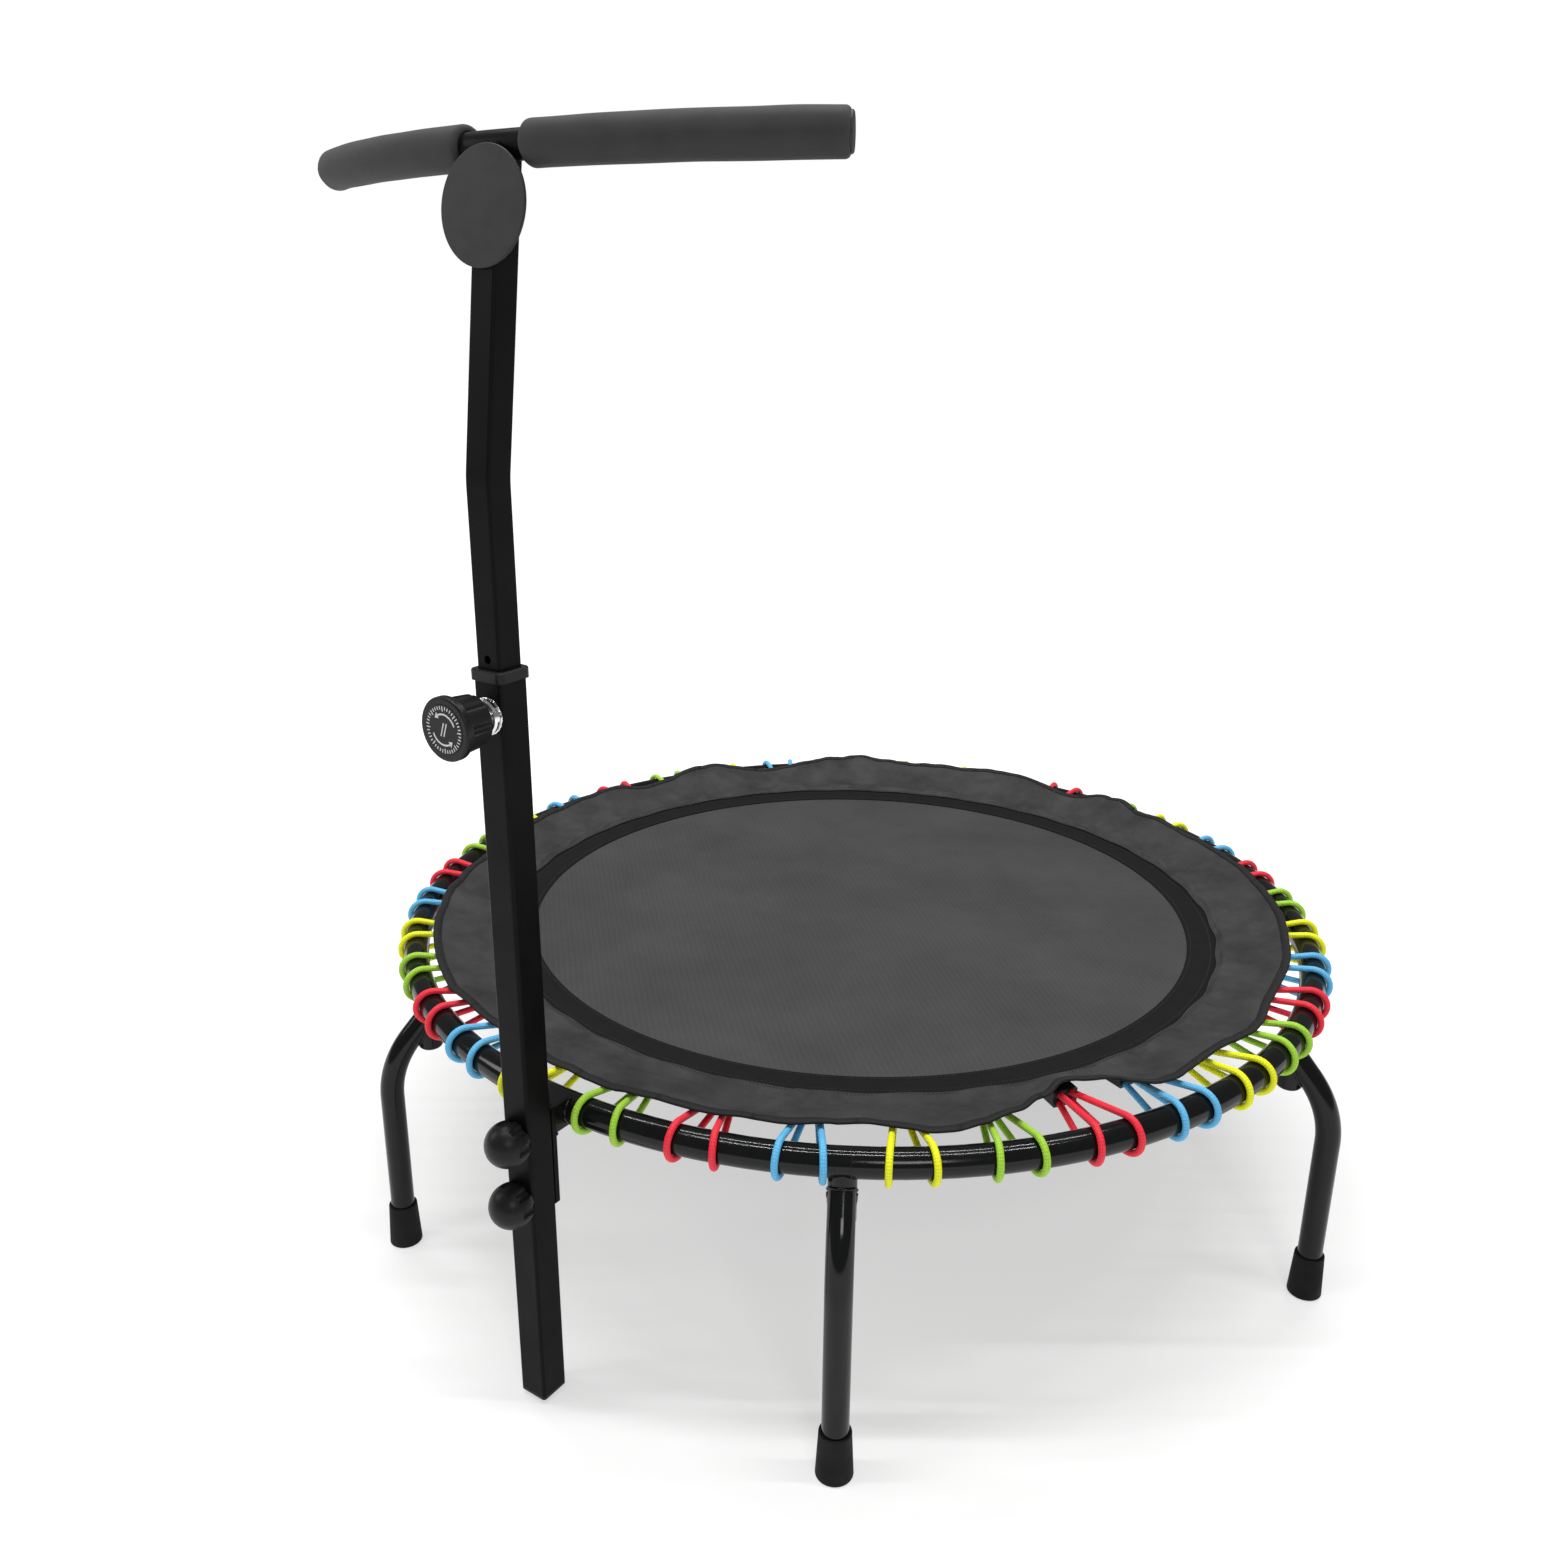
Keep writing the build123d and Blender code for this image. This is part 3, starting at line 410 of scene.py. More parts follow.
NODE_MATERIALS = {
    "rim_": GLOSS,
    "leg_spigots": GLOSS,
    "leg_sleeve_plugs": PLASTIC,
    "leg_": GLOSS,
    "foot_": RUBBER,
    "mast_arm": GLOSS,
    "mast_plate": SATIN,
    "mast_weld_nuts": ZINC,
    "mast_end_plug": PLASTIC,
    "lower_post": SATIN,
    "upper_mast": SATIN,
    "handlebar_tube": SATIN,
    "post_": PLASTIC,
    "pin_weld_nut": CHROME,
    "pin_barrel": CHROME,
    "pin_spring": CHROME,
    "pin_plunger": ZINC,
    "height_knob": PLASTIC,
    "knob_cap": PLASTIC,
    "clamp_knob": PLASTIC,
    "clamp_stud": ZINC,
    "badge_disc": BADGE_PLASTIC,
    "badge_screws": ZINC,
    "bar_plug": BADGE_PLASTIC,
    "cord_clips": PLASTIC,
}


def dress_cad_nodes():
    """Give each CAD node that stays the material of its real surface."""
    for name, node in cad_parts.items():
        for start, material in NODE_MATERIALS.items():
            if name.startswith(start):
                node.data.materials.clear()
                node.data.materials.append(material)
                break


# ---------------------------------------------------------------- mesh helpers
UP = Vector((0, 0, 1))
ALONG_Y = Vector((0, 1, 0))


def piece(name, points, faces, material, body=None, uvs=None, smooth=True):
    """A mesh object in the model's frame, which rides on a body when one is given."""
    mesh = bpy.data.meshes.new(name)
    mesh.from_pydata([tuple(point) for point in points], [], faces)
    if uvs:
        layer = mesh.uv_layers.new(name="UVMap")
        corner = 0
        for face_uvs in uvs:
            for uv in face_uvs:
                layer.data[corner].uv = uv
                corner += 1
    work = bmesh.new()
    work.from_mesh(mesh)
    bmesh.ops.recalc_face_normals(work, faces=work.faces)
    work.to_mesh(mesh)
    work.free()
    mesh.polygons.foreach_set("use_smooth", [smooth] * len(mesh.polygons))
    mesh.materials.append(material)
    mesh.update()
    thing = bpy.data.objects.new(name, mesh)
    bpy.context.scene.collection.objects.link(thing)
    if body:
        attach(thing, body)
    return thing


def polar(radius, degrees, height):
    """A point at a radius, an angle in degrees and a height."""
    turn = math.radians(degrees)
    return Vector((radius * math.cos(turn), radius * math.sin(turn), height))


def smoothstep(value, low, high):
    """A smooth rise from 0 at one end to 1 at the other."""
    share = min(max((value - low) / (high - low), 0), 1)
    return share * share * (3 - 2 * share)


class Build:
    """Collects points and faces of several shapes that become one mesh."""

    def __init__(self):
        self.points = []
        self.faces = []
        self.uvs = []

    def grid(self, rows, closed_rows=False, closed_columns=False, caps=False, uv=None):
        """Quads between rows of points. uv gives the texture place of a row and a column."""
        first = len(self.points)
        count = len(rows[0])
        for row in rows:
            self.points.extend(row)
        row_pairs = len(rows) if closed_rows else len(rows) - 1
        columns = count if closed_columns else count - 1
        for r in range(row_pairs):
            for c in range(columns):
                r2 = (r + 1) % len(rows)
                c2 = (c + 1) % count
                row = first + r * count
                row2 = first + r2 * count
                self.faces.append((row + c, row2 + c, row2 + c2, row + c2))
                if uv:
                    self.uvs.append([uv(r, c), uv(r + 1, c), uv(r + 1, c + 1), uv(r, c + 1)])
        if caps:
            for r in (0, len(rows) - 1):
                ring = [first + r * count + c for c in range(count)]
                self.faces.append(tuple(ring if r == 0 else reversed(ring)))
                if uv:
                    self.uvs.append([uv(r, c) for c in range(count)])

    def tube(self, path, radius, sides=12, closed=False, up=UP, uv=False):
        """A round tube along points. radius may be a function of the point's number."""
        rows = []
        travelled = [0.0]
        last = len(path) - 1
        for i, point in enumerate(path):
            before = path[i - 1] if i or closed else point
            after = path[(i + 1) % len(path)] if i < last or closed else point
            ahead = (after - before).normalized()
            side = ahead.cross(up).normalized()
            rise = side.cross(ahead).normalized()
            size = radius(i) if callable(radius) else radius
            turns = [2 * math.pi * k / sides for k in range(sides)]
            rows.append([point + side * size * math.cos(t) + rise * size * math.sin(t) for t in turns])
            if i:
                travelled.append(travelled[-1] + (point - path[i - 1]).length)
        place = (lambda r, c: (travelled[min(r, last)] * 1000, c / sides)) if uv else None
        self.grid(rows, closed_rows=closed, closed_columns=True, caps=not closed, uv=place)

    def block(self, matrix, size, inset=0.25):
        """A small box with its upper edges drawn in, for stitches and printed marks."""
        first = len(self.points)
        half = Vector(size) / 2
        for z, share in ((-half.z, 1.0), (half.z, 1 - inset)):
            for x, y in ((-1, -1), (1, -1), (1, 1), (-1, 1)):
                self.points.append(matrix @ Vector((x * half.x * share, y * half.y * share, z)))
        for face in ((3, 2, 1, 0), (4, 5, 6, 7), (0, 1, 5, 4), (1, 2, 6, 5), (2, 3, 7, 6), (3, 0, 4, 7)):
            self.faces.append(tuple(first + corner for corner in face))

    def piece(self, name, material, slot, body=None, smooth=True):
        return piece(name, self.points, self.faces, material, body, self.uvs or None, smooth)


def facing(point, ahead, normal):
    """A placement whose x runs ahead and whose z is the surface's normal."""
    x = ahead.normalized()
    z = (normal - x * normal.dot(x)).normalized()
    y = z.cross(x)
    matrix = Matrix((x, y, z)).transposed().to_4x4()
    matrix.translation = point
    return matrix


STITCH_LENGTH = 0.0026
STITCH_WIDTH = 0.0009
STITCH_THICKNESS = 0.0006
STITCH_TAPER = 0.35


def stitch_ring(build, radius, pitch, height):
    """Stitches in a circle. radius and height may be functions of the angle in degrees."""
    mean = radius(0) if callable(radius) else radius
    count = round(2 * math.pi * mean / pitch)
    for i in range(count):
        angle = 360 * i / count
        at = radius(angle) if callable(radius) else radius
        top = height(angle) if callable(height) else height
        place = facing(polar(at, angle, top + STITCH_THICKNESS * 0.3), polar(1, angle + 90, 0), UP)
        build.block(place, (STITCH_LENGTH, STITCH_WIDTH, STITCH_THICKNESS), STITCH_TAPER)


# ---------------------------------------------------------------- mat
MAT_SAG = 0.0025
MAT_CLOTH_THICKNESS = 0.0016
MAT_EDGE = 0.0009        # the turned edge's rounding


def mat_height(radius):
    """The mat's upper side, a little lower towards the middle."""
    return MAT_TOP - MAT_SAG * (1 - (radius / MAT_RADIUS) ** 2)


def make_mat():
    """The round jump mat, a taut sheet with a turned edge."""
    build = Build()
    edge = MAT_RADIUS - 0.0008
    radii = [0.0005] + [edge * i / 24 for i in range(1, 25)]
    profile = [(radius, mat_height(radius)) for radius in radii]
    profile += [(MAT_RADIUS, MAT_TOP - MAT_EDGE), (MAT_RADIUS, MAT_BOTTOM + MAT_EDGE)]
    profile += [(edge, MAT_BOTTOM + 0.0002)]
    profile += [(radius, mat_height(radius) - MAT_CLOTH_THICKNESS) for radius in reversed(radii[:-1])]
    rows = [[polar(radius, 360 * c / 180, z) for c in range(180)] for radius, z in profile]
    build.grid(list(reversed(rows)), closed_columns=True, caps=True)
    mat = build.piece("mat_sheet", MAT_CLOTH, "mat_weave", MAT_BODY)
    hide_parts("jump_mat")


def make_band():
    """The webbing that is sewn round the mat's edge, with two rows of stitches."""
    build = Build()
    inner = MAT_RADIUS - BAND_WIDTH
    base = MAT_TOP + 0.00015
    edge = 0.0005
    low_in = mat_height(inner) + 0.00015
    profile = [
        (inner, low_in),
        (inner, low_in + 0.0009),
        (inner + edge, low_in + 0.0013),
        (MAT_RADIUS - 0.019, BAND_TOP + 0.0001),
        (MAT_RADIUS - edge, BAND_TOP),
        (MAT_RADIUS, BAND_TOP - edge),
        (MAT_RADIUS, base),
    ]
    count = 360
    rows = []
    for radius, z in profile:
        rows.append([polar(radius, 360 * c / count, z) for c in range(count)])
    build.grid(list(reversed(rows)), closed_rows=True, closed_columns=True)
    band = build.piece("mat_band_webbing", BAND_CLOTH, "webbing", MAT_BODY)
    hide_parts("mat_band")
    stitches = Build()
    stitch_ring(stitches, inner + 0.004, 0.0042, low_in + 0.00135)
    stitch_ring(stitches, MAT_RADIUS - 0.012, 0.0042, BAND_TOP + 0.00005)
    rows_of_thread = stitches.piece("band_stitches", BLACK_THREAD, "webbing", MAT_BODY, smooth=False)


def lacing_drift(angle):
    """How far a hand-laced group at an even angle strays from it, in degrees."""
    nearness = (1 + math.cos(math.radians(angle - LACING_DRIFT_ANGLE))) / 2
    return LACING_DRIFT * nearness**LACING_DRIFT_FALL


def group_angles():
    """Where the cord groups and their clips lie round the ring, in degrees."""
    even = [FIRST_GROUP + GROUP_STEP * i for i in range(GROUPS)]
    return [angle + lacing_drift(angle) for angle in even]


GROUP_ANGLES = group_angles()


def gore_edges(index):
    """The angles halfway to the groups on both sides of one group."""
    before = GROUP_ANGLES[index - 1] - (360 if index == 0 else 0)
    after = GROUP_ANGLES[(index + 1) % GROUPS] + (360 if index == GROUPS - 1 else 0)
    return (before + GROUP_ANGLES[index]) / 2, (GROUP_ANGLES[index] + after) / 2


def make_tabs():
    """The webbing tabs that hold the clips under the mat's edge."""
    build = Build()
    half_width = 0.0095
    half_thick = 0.00065
    middle_height = MAT_BOTTOM - 0.00075
    slack = 0.0001
    start = CLIP_START - 0.0195
    end = CLIP_START + TAB_HOLD
    path = [(start, 0), (start + 0.0045, 0), (0.418, slack), (0.424, slack), (0.430, 0), (end, 0)]
    # Half of the strap's section, in half widths and half thicknesses; the other half is its half turn.
    upper = [(-1, 0.4), (-0.94, 1), (0.94, 1), (1, 0.4)]
    section = upper + [(-a, -b) for a, b in upper]
    for angle in GROUP_ANGLES:
        across = polar(1, angle + 90, 0)
        rows = []
        for radius, drop in path:
            middle = polar(radius, angle, middle_height - drop)
            rows.append([middle + across * (a * half_width) + UP * (b * half_thick) for a, b in section])
        build.grid(rows, closed_columns=True, caps=True)
    tabs = build.piece("clip_tab_straps", BAND_CLOTH, "webbing", MAT_BODY)
    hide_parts("clip_tabs")


# ---------------------------------------------------------------- cords
def wrap_path(angle, side):
    """One turn of cord from its clip over the ring and back, as points in the model's frame."""
    turn = math.radians(WRAP_ANGLE)
    inward = RING_RADIUS * math.cos(turn) - CLIP_END
    across = RING_RADIUS * math.sin(turn) - STRAND_OFFSET
    reach = math.hypot(inward, across)
    slope = math.asin(WRAP_RADIUS / math.hypot(reach, STRAND_RISE)) - math.atan2(STRAND_RISE, reach)
    run = math.sqrt(reach**2 + STRAND_RISE**2 - WRAP_RADIUS**2)
    straight = 16
    inside = 0.0015
    line = []
    for i in range(straight):
        along = -inside + (run + inside) * i / straight
        line.append((along * math.cos(slope), STRAND_RISE + along * math.sin(slope)))
    opening = math.pi / 2 + slope
    arc_steps = 22
    arc = []
    for i in range(arc_steps + 1):
        bearing = opening - 2 * opening * i / arc_steps
        arc.append((reach + WRAP_RADIUS * math.cos(bearing), WRAP_RADIUS * math.sin(bearing)))
    below = [(x, -z) for x, z in reversed(line)]
    plan = math.atan2(across, inward) * side
    place = (
        Matrix.Rotation(math.radians(angle), 4, "Z")
        @ Matrix.Translation((CLIP_END, side * STRAND_OFFSET, RING_HEIGHT))
        @ Matrix.Rotation(plan, 4, "Z")
    )
    sideways = (place.to_3x3() @ ALONG_Y).normalized()
    return [place @ Vector((x, 0, z)) for x, z in line + arc + below], sideways


def make_cords():
    """Each group is one elastic cord that passes twice over the ring from its clip."""
    for index, angle in enumerate(GROUP_ANGLES):
        colour = CORD_COLOURS[index % len(CORD_COLOURS)]
        build = Build()
        for side in (-1, 1):
            path, sideways = wrap_path(angle, side)
            build.tube(path, CORD_RADIUS, sides=14, up=sideways, uv=True)
        cord = build.piece(f"bungee_{index + 1:02d}_{colour}", SHEATHS[colour], f"cord_{colour}")
        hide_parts(f"cords_{colour}")
        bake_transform(cord)


# ---------------------------------------------------------------- skirt
# The hem as it hangs: angle in degrees, radius in millimetres, and lift above the cords.
HEM = [
    (-92, 500, 0), (-82, 503, 0), (-70, 502, 1), (-58, 492, 2), (-50, 505, 0), (-42, 492, 4),
    (-38, 472, 8), (-34, 455, 12), (-30, 466, 10), (-25, 500, 3), (-14, 489, 5), (-6, 496, 1),
    (3, 488, 3), (17, 494, 1), (42, 502, 0), (54, 502, 1), (67, 499, 1), (75, 505, 7),
    (81, 490, 0), (93, 502, 7), (111, 499, 3), (121, 504, 9), (139, 488, 0), (148, 504, 8),
    (161, 487, 1), (168, 502, 3), (184, 495, 2), (200, 490, 1), (216, 496, 1), (230, 499, 1),
    (244, 502, 1), (256, 495, 1),
]
CLOTH = 0.0013
SEAM_HEIGHT = BAND_TOP + 0.0003
COVER_HEIGHT = CLIP_TOP + 0.0004  # the cloth's underside over the clips
FOLDS_PER_METRE = 16
FOLD_HEIGHT = 0.0062
CREASES_PER_METRE = 42
CREASE_HEIGHT = 0.0024
# The rows of a gore, as shares of the way from the seam to the hem: closer together near the seam.
SKIRT_SHARES = [0.04 * k for k in range(4)] + [0.17, 0.22] + [0.28 + 0.06 * k for k in range(13)]


def hem_at(degrees):
    """Radius and lift of the hem at an angle, in metres, eased between the chosen points."""
    angle = (degrees - HEM[0][0]) % 360 + HEM[0][0]
    ring = HEM + [(HEM[0][0] + 360, *HEM[0][1:])]
    for (a0, r0, l0), (a1, r1, l1) in zip(ring, ring[1:]):
        if a0 <= angle <= a1:
            share = smoothstep(angle, a0, a1)
            return (r0 + (r1 - r0) * share) / 1000, (l0 + (l1 - l0) * share) / 1000
    raise ValueError(degrees)


def clip_nearness(degrees, margin):
    """1 over a clip, 0 between clips."""
    offset = min(abs((degrees - angle + 180) % 360 - 180) for angle in GROUP_ANGLES)
    distance = math.radians(offset) * CLIP_START
    return 1 - smoothstep(distance, CLIP_HALF_WIDTH + 0.001, CLIP_HALF_WIDTH + margin)


def skirt_inner(degrees):
    """The skirt's inner edge, which waves a little between the clips."""
    wave = 0.0012 * math.sin(math.radians(degrees) * GROUPS)
    return SKIRT_INNER + wave + 0.0008 * noise.noise(polar(6, degrees, 0))


def skirt_point(degrees, share):
    """The underside of the skirt: share runs from its seam on the band, 0, to its hem, 1."""
    outer, lift = hem_at(degrees)
    inner = skirt_inner(degrees)
    radius = inner + (outer - inner) * share
    over_clip = clip_nearness(degrees, 0.017)
    shelf = SEAM_HEIGHT + (COVER_HEIGHT - SEAM_HEIGHT) * (0.30 + 0.70 * over_clip)
    climb = smoothstep(radius, SKIRT_INNER + 0.003, CLIP_START - 0.0008)
    height = SEAM_HEIGHT + (shelf - SEAM_HEIGHT) * climb
    tail = min(max((radius - CLIP_END) / (SKIRT_OUTER - CLIP_END), 0), 1)
    # The cords' upper strands carry the cloth in a straight line from clip to hem.
    carried = COVER_HEIGHT + (HEM_HEIGHT - COVER_HEIGHT) * tail
    height = max(height, height + (carried - height) * smoothstep(radius, CLIP_END - 0.012, CLIP_END + 0.003))
    free = smoothstep(radius, CLIP_START, SKIRT_OUTER)
    place = polar(radius, degrees, 0)
    fold = noise.noise(place * FOLDS_PER_METRE + Vector((3.1, 0.7, 1.3)))
    crease = noise.noise(place * CREASES_PER_METRE + Vector((0.4, 5.2, 2.6)))
    height += free * (FOLD_HEIGHT * abs(fold) + CREASE_HEIGHT * abs(crease))
    height += lift * smoothstep(share, 0.25, 1.0)
    return polar(radius, degrees, height)


def surface_normal(degrees, share):
    """The cloth's own upward direction at a point."""
    small = 0.01
    low = max(share - small, 0)
    high = min(share + small, 1)
    outward = skirt_point(degrees, high) - skirt_point(degrees, low)
    round_it = skirt_point(degrees + 0.15, share) - skirt_point(degrees - 0.15, share)
    return outward.cross(round_it).normalized()


def stretch_to_ring(thing):
    """Bake a part of the skirt's placement into its mesh."""
    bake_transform(thing)


def make_skirt():
    """The skirt in ten-degree gores, one round each cord group."""
    columns = 14
    for index, middle in enumerate(GROUP_ANGLES):
        build = Build()
        first, last = gore_edges(index)
        angles = [first + (last - first) * c / columns for c in range(columns + 1)]
        lower = [[skirt_point(angle, share) for angle in angles] for share in SKIRT_SHARES]
        normals = [[surface_normal(angle, share) for angle in angles] for share in SKIRT_SHARES]
        upper = [[p + n * CLOTH for p, n in zip(*rows)] for rows in zip(lower, normals)]
        # Under side, outer edge, upper side and inner edge, as one closed strip of rows.
        build.grid(lower + upper[::-1], closed_rows=True)
        rows = len(SKIRT_SHARES)
        count = columns + 1
        for column, order in ((0, 1), (columns, -1)):
            for r in range(rows - 1):
                a = r * count + column
                b = (r + 1) * count + column
                c = (2 * rows - 2 - r) * count + column
                d = (2 * rows - 1 - r) * count + column
                build.faces.append((a, b, c, d)[::order])
        gore = build.piece(f"skirt_gore_{index + 1:02d}", SKIRT_CLOTH, "skirt_cloth")
        shade_as_one(gore, [-n for row in normals for n in row] + [n for row in normals[::-1] for n in row])
        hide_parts("skirt")
        stretch_to_ring(gore)
        make_hem_binding(index)


def shade_as_one(thing, normals):
    """Give a gore the whole skirt's normals, so that no edge shows where two gores meet."""
    thing.data.normals_split_custom_set_from_vertices([tuple(normal) for normal in normals])


def make_hem_binding(index):
    """The folded tape that covers one gore's edge, and its row of stitches."""
    build = Build()
    wide = 0.0075
    gap = 0.0002
    tape = 0.0008
    count = 16
    first, last = gore_edges(index)
    rows = []
    stitches = Build()
    for i in range(count + 1):
        angle = first + (last - first) * i / count
        edge = skirt_point(angle, 1.0)
        inner = skirt_point(angle, 0.9)
        outward = (edge - inner).normalized()
        normal = surface_normal(angle, 0.97)
        low = -gap
        high = CLOTH + gap
        out = 0.0006
        profile = [
            (-wide, low), (-wide, low - tape), (out * 0.5, low - tape), (out + tape, low * 0.5),
            (out + tape, high), (out * 0.5, high + tape), (-wide, high + tape), (-wide, high),
            (out * 0.5, high), (out * 0.5, low),
        ]
        rows.append([edge + outward * a + normal * b for a, b in profile])
        if i % 2 == 1:
            ahead = skirt_point(angle + 0.2, 1.0) - skirt_point(angle - 0.2, 1.0)
            point = edge - outward * (wide - 0.0018) + normal * (high + tape + 0.0001)
            stitches.block(facing(point, ahead, normal), (0.003, STITCH_WIDTH, 0.0005), STITCH_TAPER)
    build.grid(rows, closed_columns=True, caps=True)
    binding = build.piece(f"hem_binding_{index + 1:02d}", BINDING, "piping_cloth")
    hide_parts("skirt_piping")
    thread_row = stitches.piece(f"hem_stitches_{index + 1:02d}", BLACK_THREAD, "piping_cloth", smooth=False)
    for thing in (binding, thread_row):
        stretch_to_ring(thing)
    return [binding, thread_row]


def make_seam_stitches():
    """Two rows of stitches that hold the skirt's inner edge to the band."""
    build = Build()
    for share in (0.025, 0.055):
        stitch_ring(
            build,
            lambda angle, share=share: skirt_inner(angle) + (SKIRT_OUTER - SKIRT_INNER) * share,
            0.0040,
            lambda angle, share=share: skirt_point(angle, share).z + CLOTH,
        )
    build.piece("skirt_seam_stitches", BLACK_THREAD, "skirt_cloth", MAT_BODY, smooth=False)


# ---------------------------------------------------------------- handlebar grips
def bar_point(arc):
    """A point on the handlebar's centre line, at an arc angle in radians from its middle."""
    return Vector(
        (BAR_RADIUS * math.sin(arc), BAR_MIDDLE_Y + BAR_RADIUS * (1 - math.cos(arc)), BAR_HEIGHT)
    )


def make_grip(side, name):
    """A foam sleeve with rolled ends, a little swollen and uneven."""
    build = Build()
    start = math.asin(GRIP_START / BAR_RADIUS)
    end = math.asin(BAR_HALF_WIDTH / BAR_RADIUS)
    bore = BAR_TUBE / 2 + 0.0002
    outer = GRIP_RADIUS
    lip = 0.0038
    unevenness = 0.00045
    length = (end - start) * BAR_RADIUS
    stations = [(0.0, bore), (0.0, outer - lip)]
    for k in range(1, 6):
        bend = math.radians(18 * k)
        stations.append((lip * (1 - math.cos(bend)), outer - lip + lip * math.sin(bend)))
    stations += [(length * k / 48, outer) for k in range(2, 47)]
    for k in range(5, 0, -1):
        bend = math.radians(18 * k)
        stations.append((length - lip * (1 - math.cos(bend)), outer - lip + lip * math.sin(bend)))
    stations += [(length, outer - lip), (length, bore)]
    sides = 40
    rows = []
    for place, radius in stations:
        arc = side * (start + place / BAR_RADIUS)
        centre = bar_point(arc)
        ahead = Vector((math.cos(arc), math.sin(arc), 0)) * side
        across = ahead.cross(UP)
        row = []
        for k in range(sides):
            turn = 2 * math.pi * k / sides
            normal = across * math.cos(turn) + UP * math.sin(turn)
            swell = unevenness * noise.noise(centre * 22 + normal * 1.5) if radius > outer - lip else 0
            row.append(centre + normal * (radius + swell))
        rows.append(row)
    build.grid(rows[::-1], closed_rows=True, closed_columns=True)
    grip = build.piece(f"foam_grip_{name}", FOAM, "grip_foam", MAST_BODY)
    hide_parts(f"grip_{name}")


# ---------------------------------------------------------------- welds
def bead(build, path, radius, closed):
    """A weld bead along a path, with the ripples of its passes."""
    build.tube(path, lambda i: radius * (1 + 0.16 * math.sin(i * 2.1)), sides=8, closed=closed)


def leg_bead_path(angle):
    """Where a leg's sloping tube meets the side of its upright sleeve."""
    head = Vector((RING_RADIUS, 0, LEG_KNEE_HEIGHT + (LEG_REACH - RING_RADIUS) * math.tan(LEG_SLOPE)))
    along = Vector((math.cos(LEG_SLOPE), 0, -math.sin(LEG_SLOPE)))
    over = Vector((math.sin(LEG_SLOPE), 0, math.cos(LEG_SLOPE)))
    turn = Matrix.Rotation(math.radians(angle), 3, "Z")
    ring_under = RING_HEIGHT - RING_TUBE / 2
    path = []
    count = 64
    for k in range(count):
        bearing = 2 * math.pi * k / count
        offset = LEG_RADIUS * (ALONG_Y * math.cos(bearing) + over * math.sin(bearing))
        out = math.sqrt(max(SLEEVE_RADIUS**2 - offset.y**2, 0))
        travel = (out - offset.x) / along.x
        point = head + offset + along * travel
        point.z = min(point.z, ring_under + 0.004)
        path.append(turn @ point)
    return path


def make_leg_welds():
    """The bead round each leg where it meets its sleeve."""
    build = Build()
    for leg in range(LEG_COUNT):
        bead(build, leg_bead_path(360 / LEG_COUNT * leg), 0.0016, True)
    build.piece("leg_weld_beads", GLOSS, "frame_paint", FRAME_BODY)


def make_arm_welds():
    """The beads where the mast's arm meets the ring, and where its other end meets the plate."""
    build = Build()
    arm_low, arm_high = node_box("mast_arm")
    half = (arm_high.x - arm_low.x) / 2
    section = RING_TUBE / 2 + 0.0002
    reach = math.radians(68)
    steps = 24
    for side in (-1, 1):
        path = []
        for k in range(steps + 1):
            bend = -reach + 2 * reach * k / steps
            out = RING_RADIUS + section * math.cos(bend)
            path.append(Vector((side * (half + 0.0004), -out, RING_HEIGHT + section * math.sin(bend))))
        bead(build, path, 0.0019, False)
    _, plate_high = node_box("mast_plate")
    back = plate_high.y + 0.0008
    bottom = arm_low.z
    top = arm_high.z - 0.002
    corners = [(-half, top), (-half, bottom), (half, bottom), (half, top)]
    steps = 18
    for (x0, z0), (x1, z1) in zip(corners, corners[1:]):
        shares = [k / steps for k in range(steps + 1)]
        path = [Vector((x0 + (x1 - x0) * share, back, z0 + (z1 - z0) * share)) for share in shares]
        bead(build, path, 0.0017, False)
    build.piece("arm_weld_beads", GLOSS, "frame_paint", FRAME_BODY)


def pin_circle(radius, y, bearing):
    """A point on a circle about the height pin's axis."""
    return Vector((radius * math.cos(bearing), y, KNOB_HEIGHT + radius * math.sin(bearing)))


def make_nut_weld():
    """The bead round the pin's nut on the post's face."""
    build = Build()
    radius = (nut_high.z - nut_low.z) / 2
    steps = 72
    path = [pin_circle(radius, post_low.y - 0.0007, 2 * math.pi * k / steps) for k in range(steps)]
    build.tube(path, lambda i: 0.0011 * (1 + 0.2 * math.sin(i * 1.9)), sides=8, closed=True, up=ALONG_Y)
    build.piece("pin_nut_weld_bead", CHROME, "chrome_plate", FRAME_BODY)


def make_ring_seams():
    """The dressed butt joints where the two half rings meet."""
    build = Build()
    rim = RING_TUBE / 2 - 0.00005
    steps = 48
    for angle in (SEAM_ANGLE, SEAM_ANGLE + 180):
        centre = polar(RING_RADIUS, angle, RING_HEIGHT)
        outward = polar(1, angle, 0)
        path = []
        for k in range(steps):
            bearing = 2 * math.pi * k / steps
            path.append(centre + outward * rim * math.cos(bearing) + UP * rim * math.sin(bearing))
        build.tube(path, 0.00045, sides=6, closed=True, up=polar(1, angle + 90, 0))
    build.piece("ring_butt_seams", PLASTIC, "frame_paint", FRAME_BODY)


# ---------------------------------------------------------------- knob print
PRINT_THICKNESS = 0.00012
PRINT_TAPER = 0.1
PRINT_FACE = KNOB_FACE - 0.00008
PRINT_NORMAL = Vector((0, -1, 0))


def on_face(radius, degrees):
    """A point on the knob's face."""
    return pin_circle(radius, PRINT_FACE, math.radians(degrees))


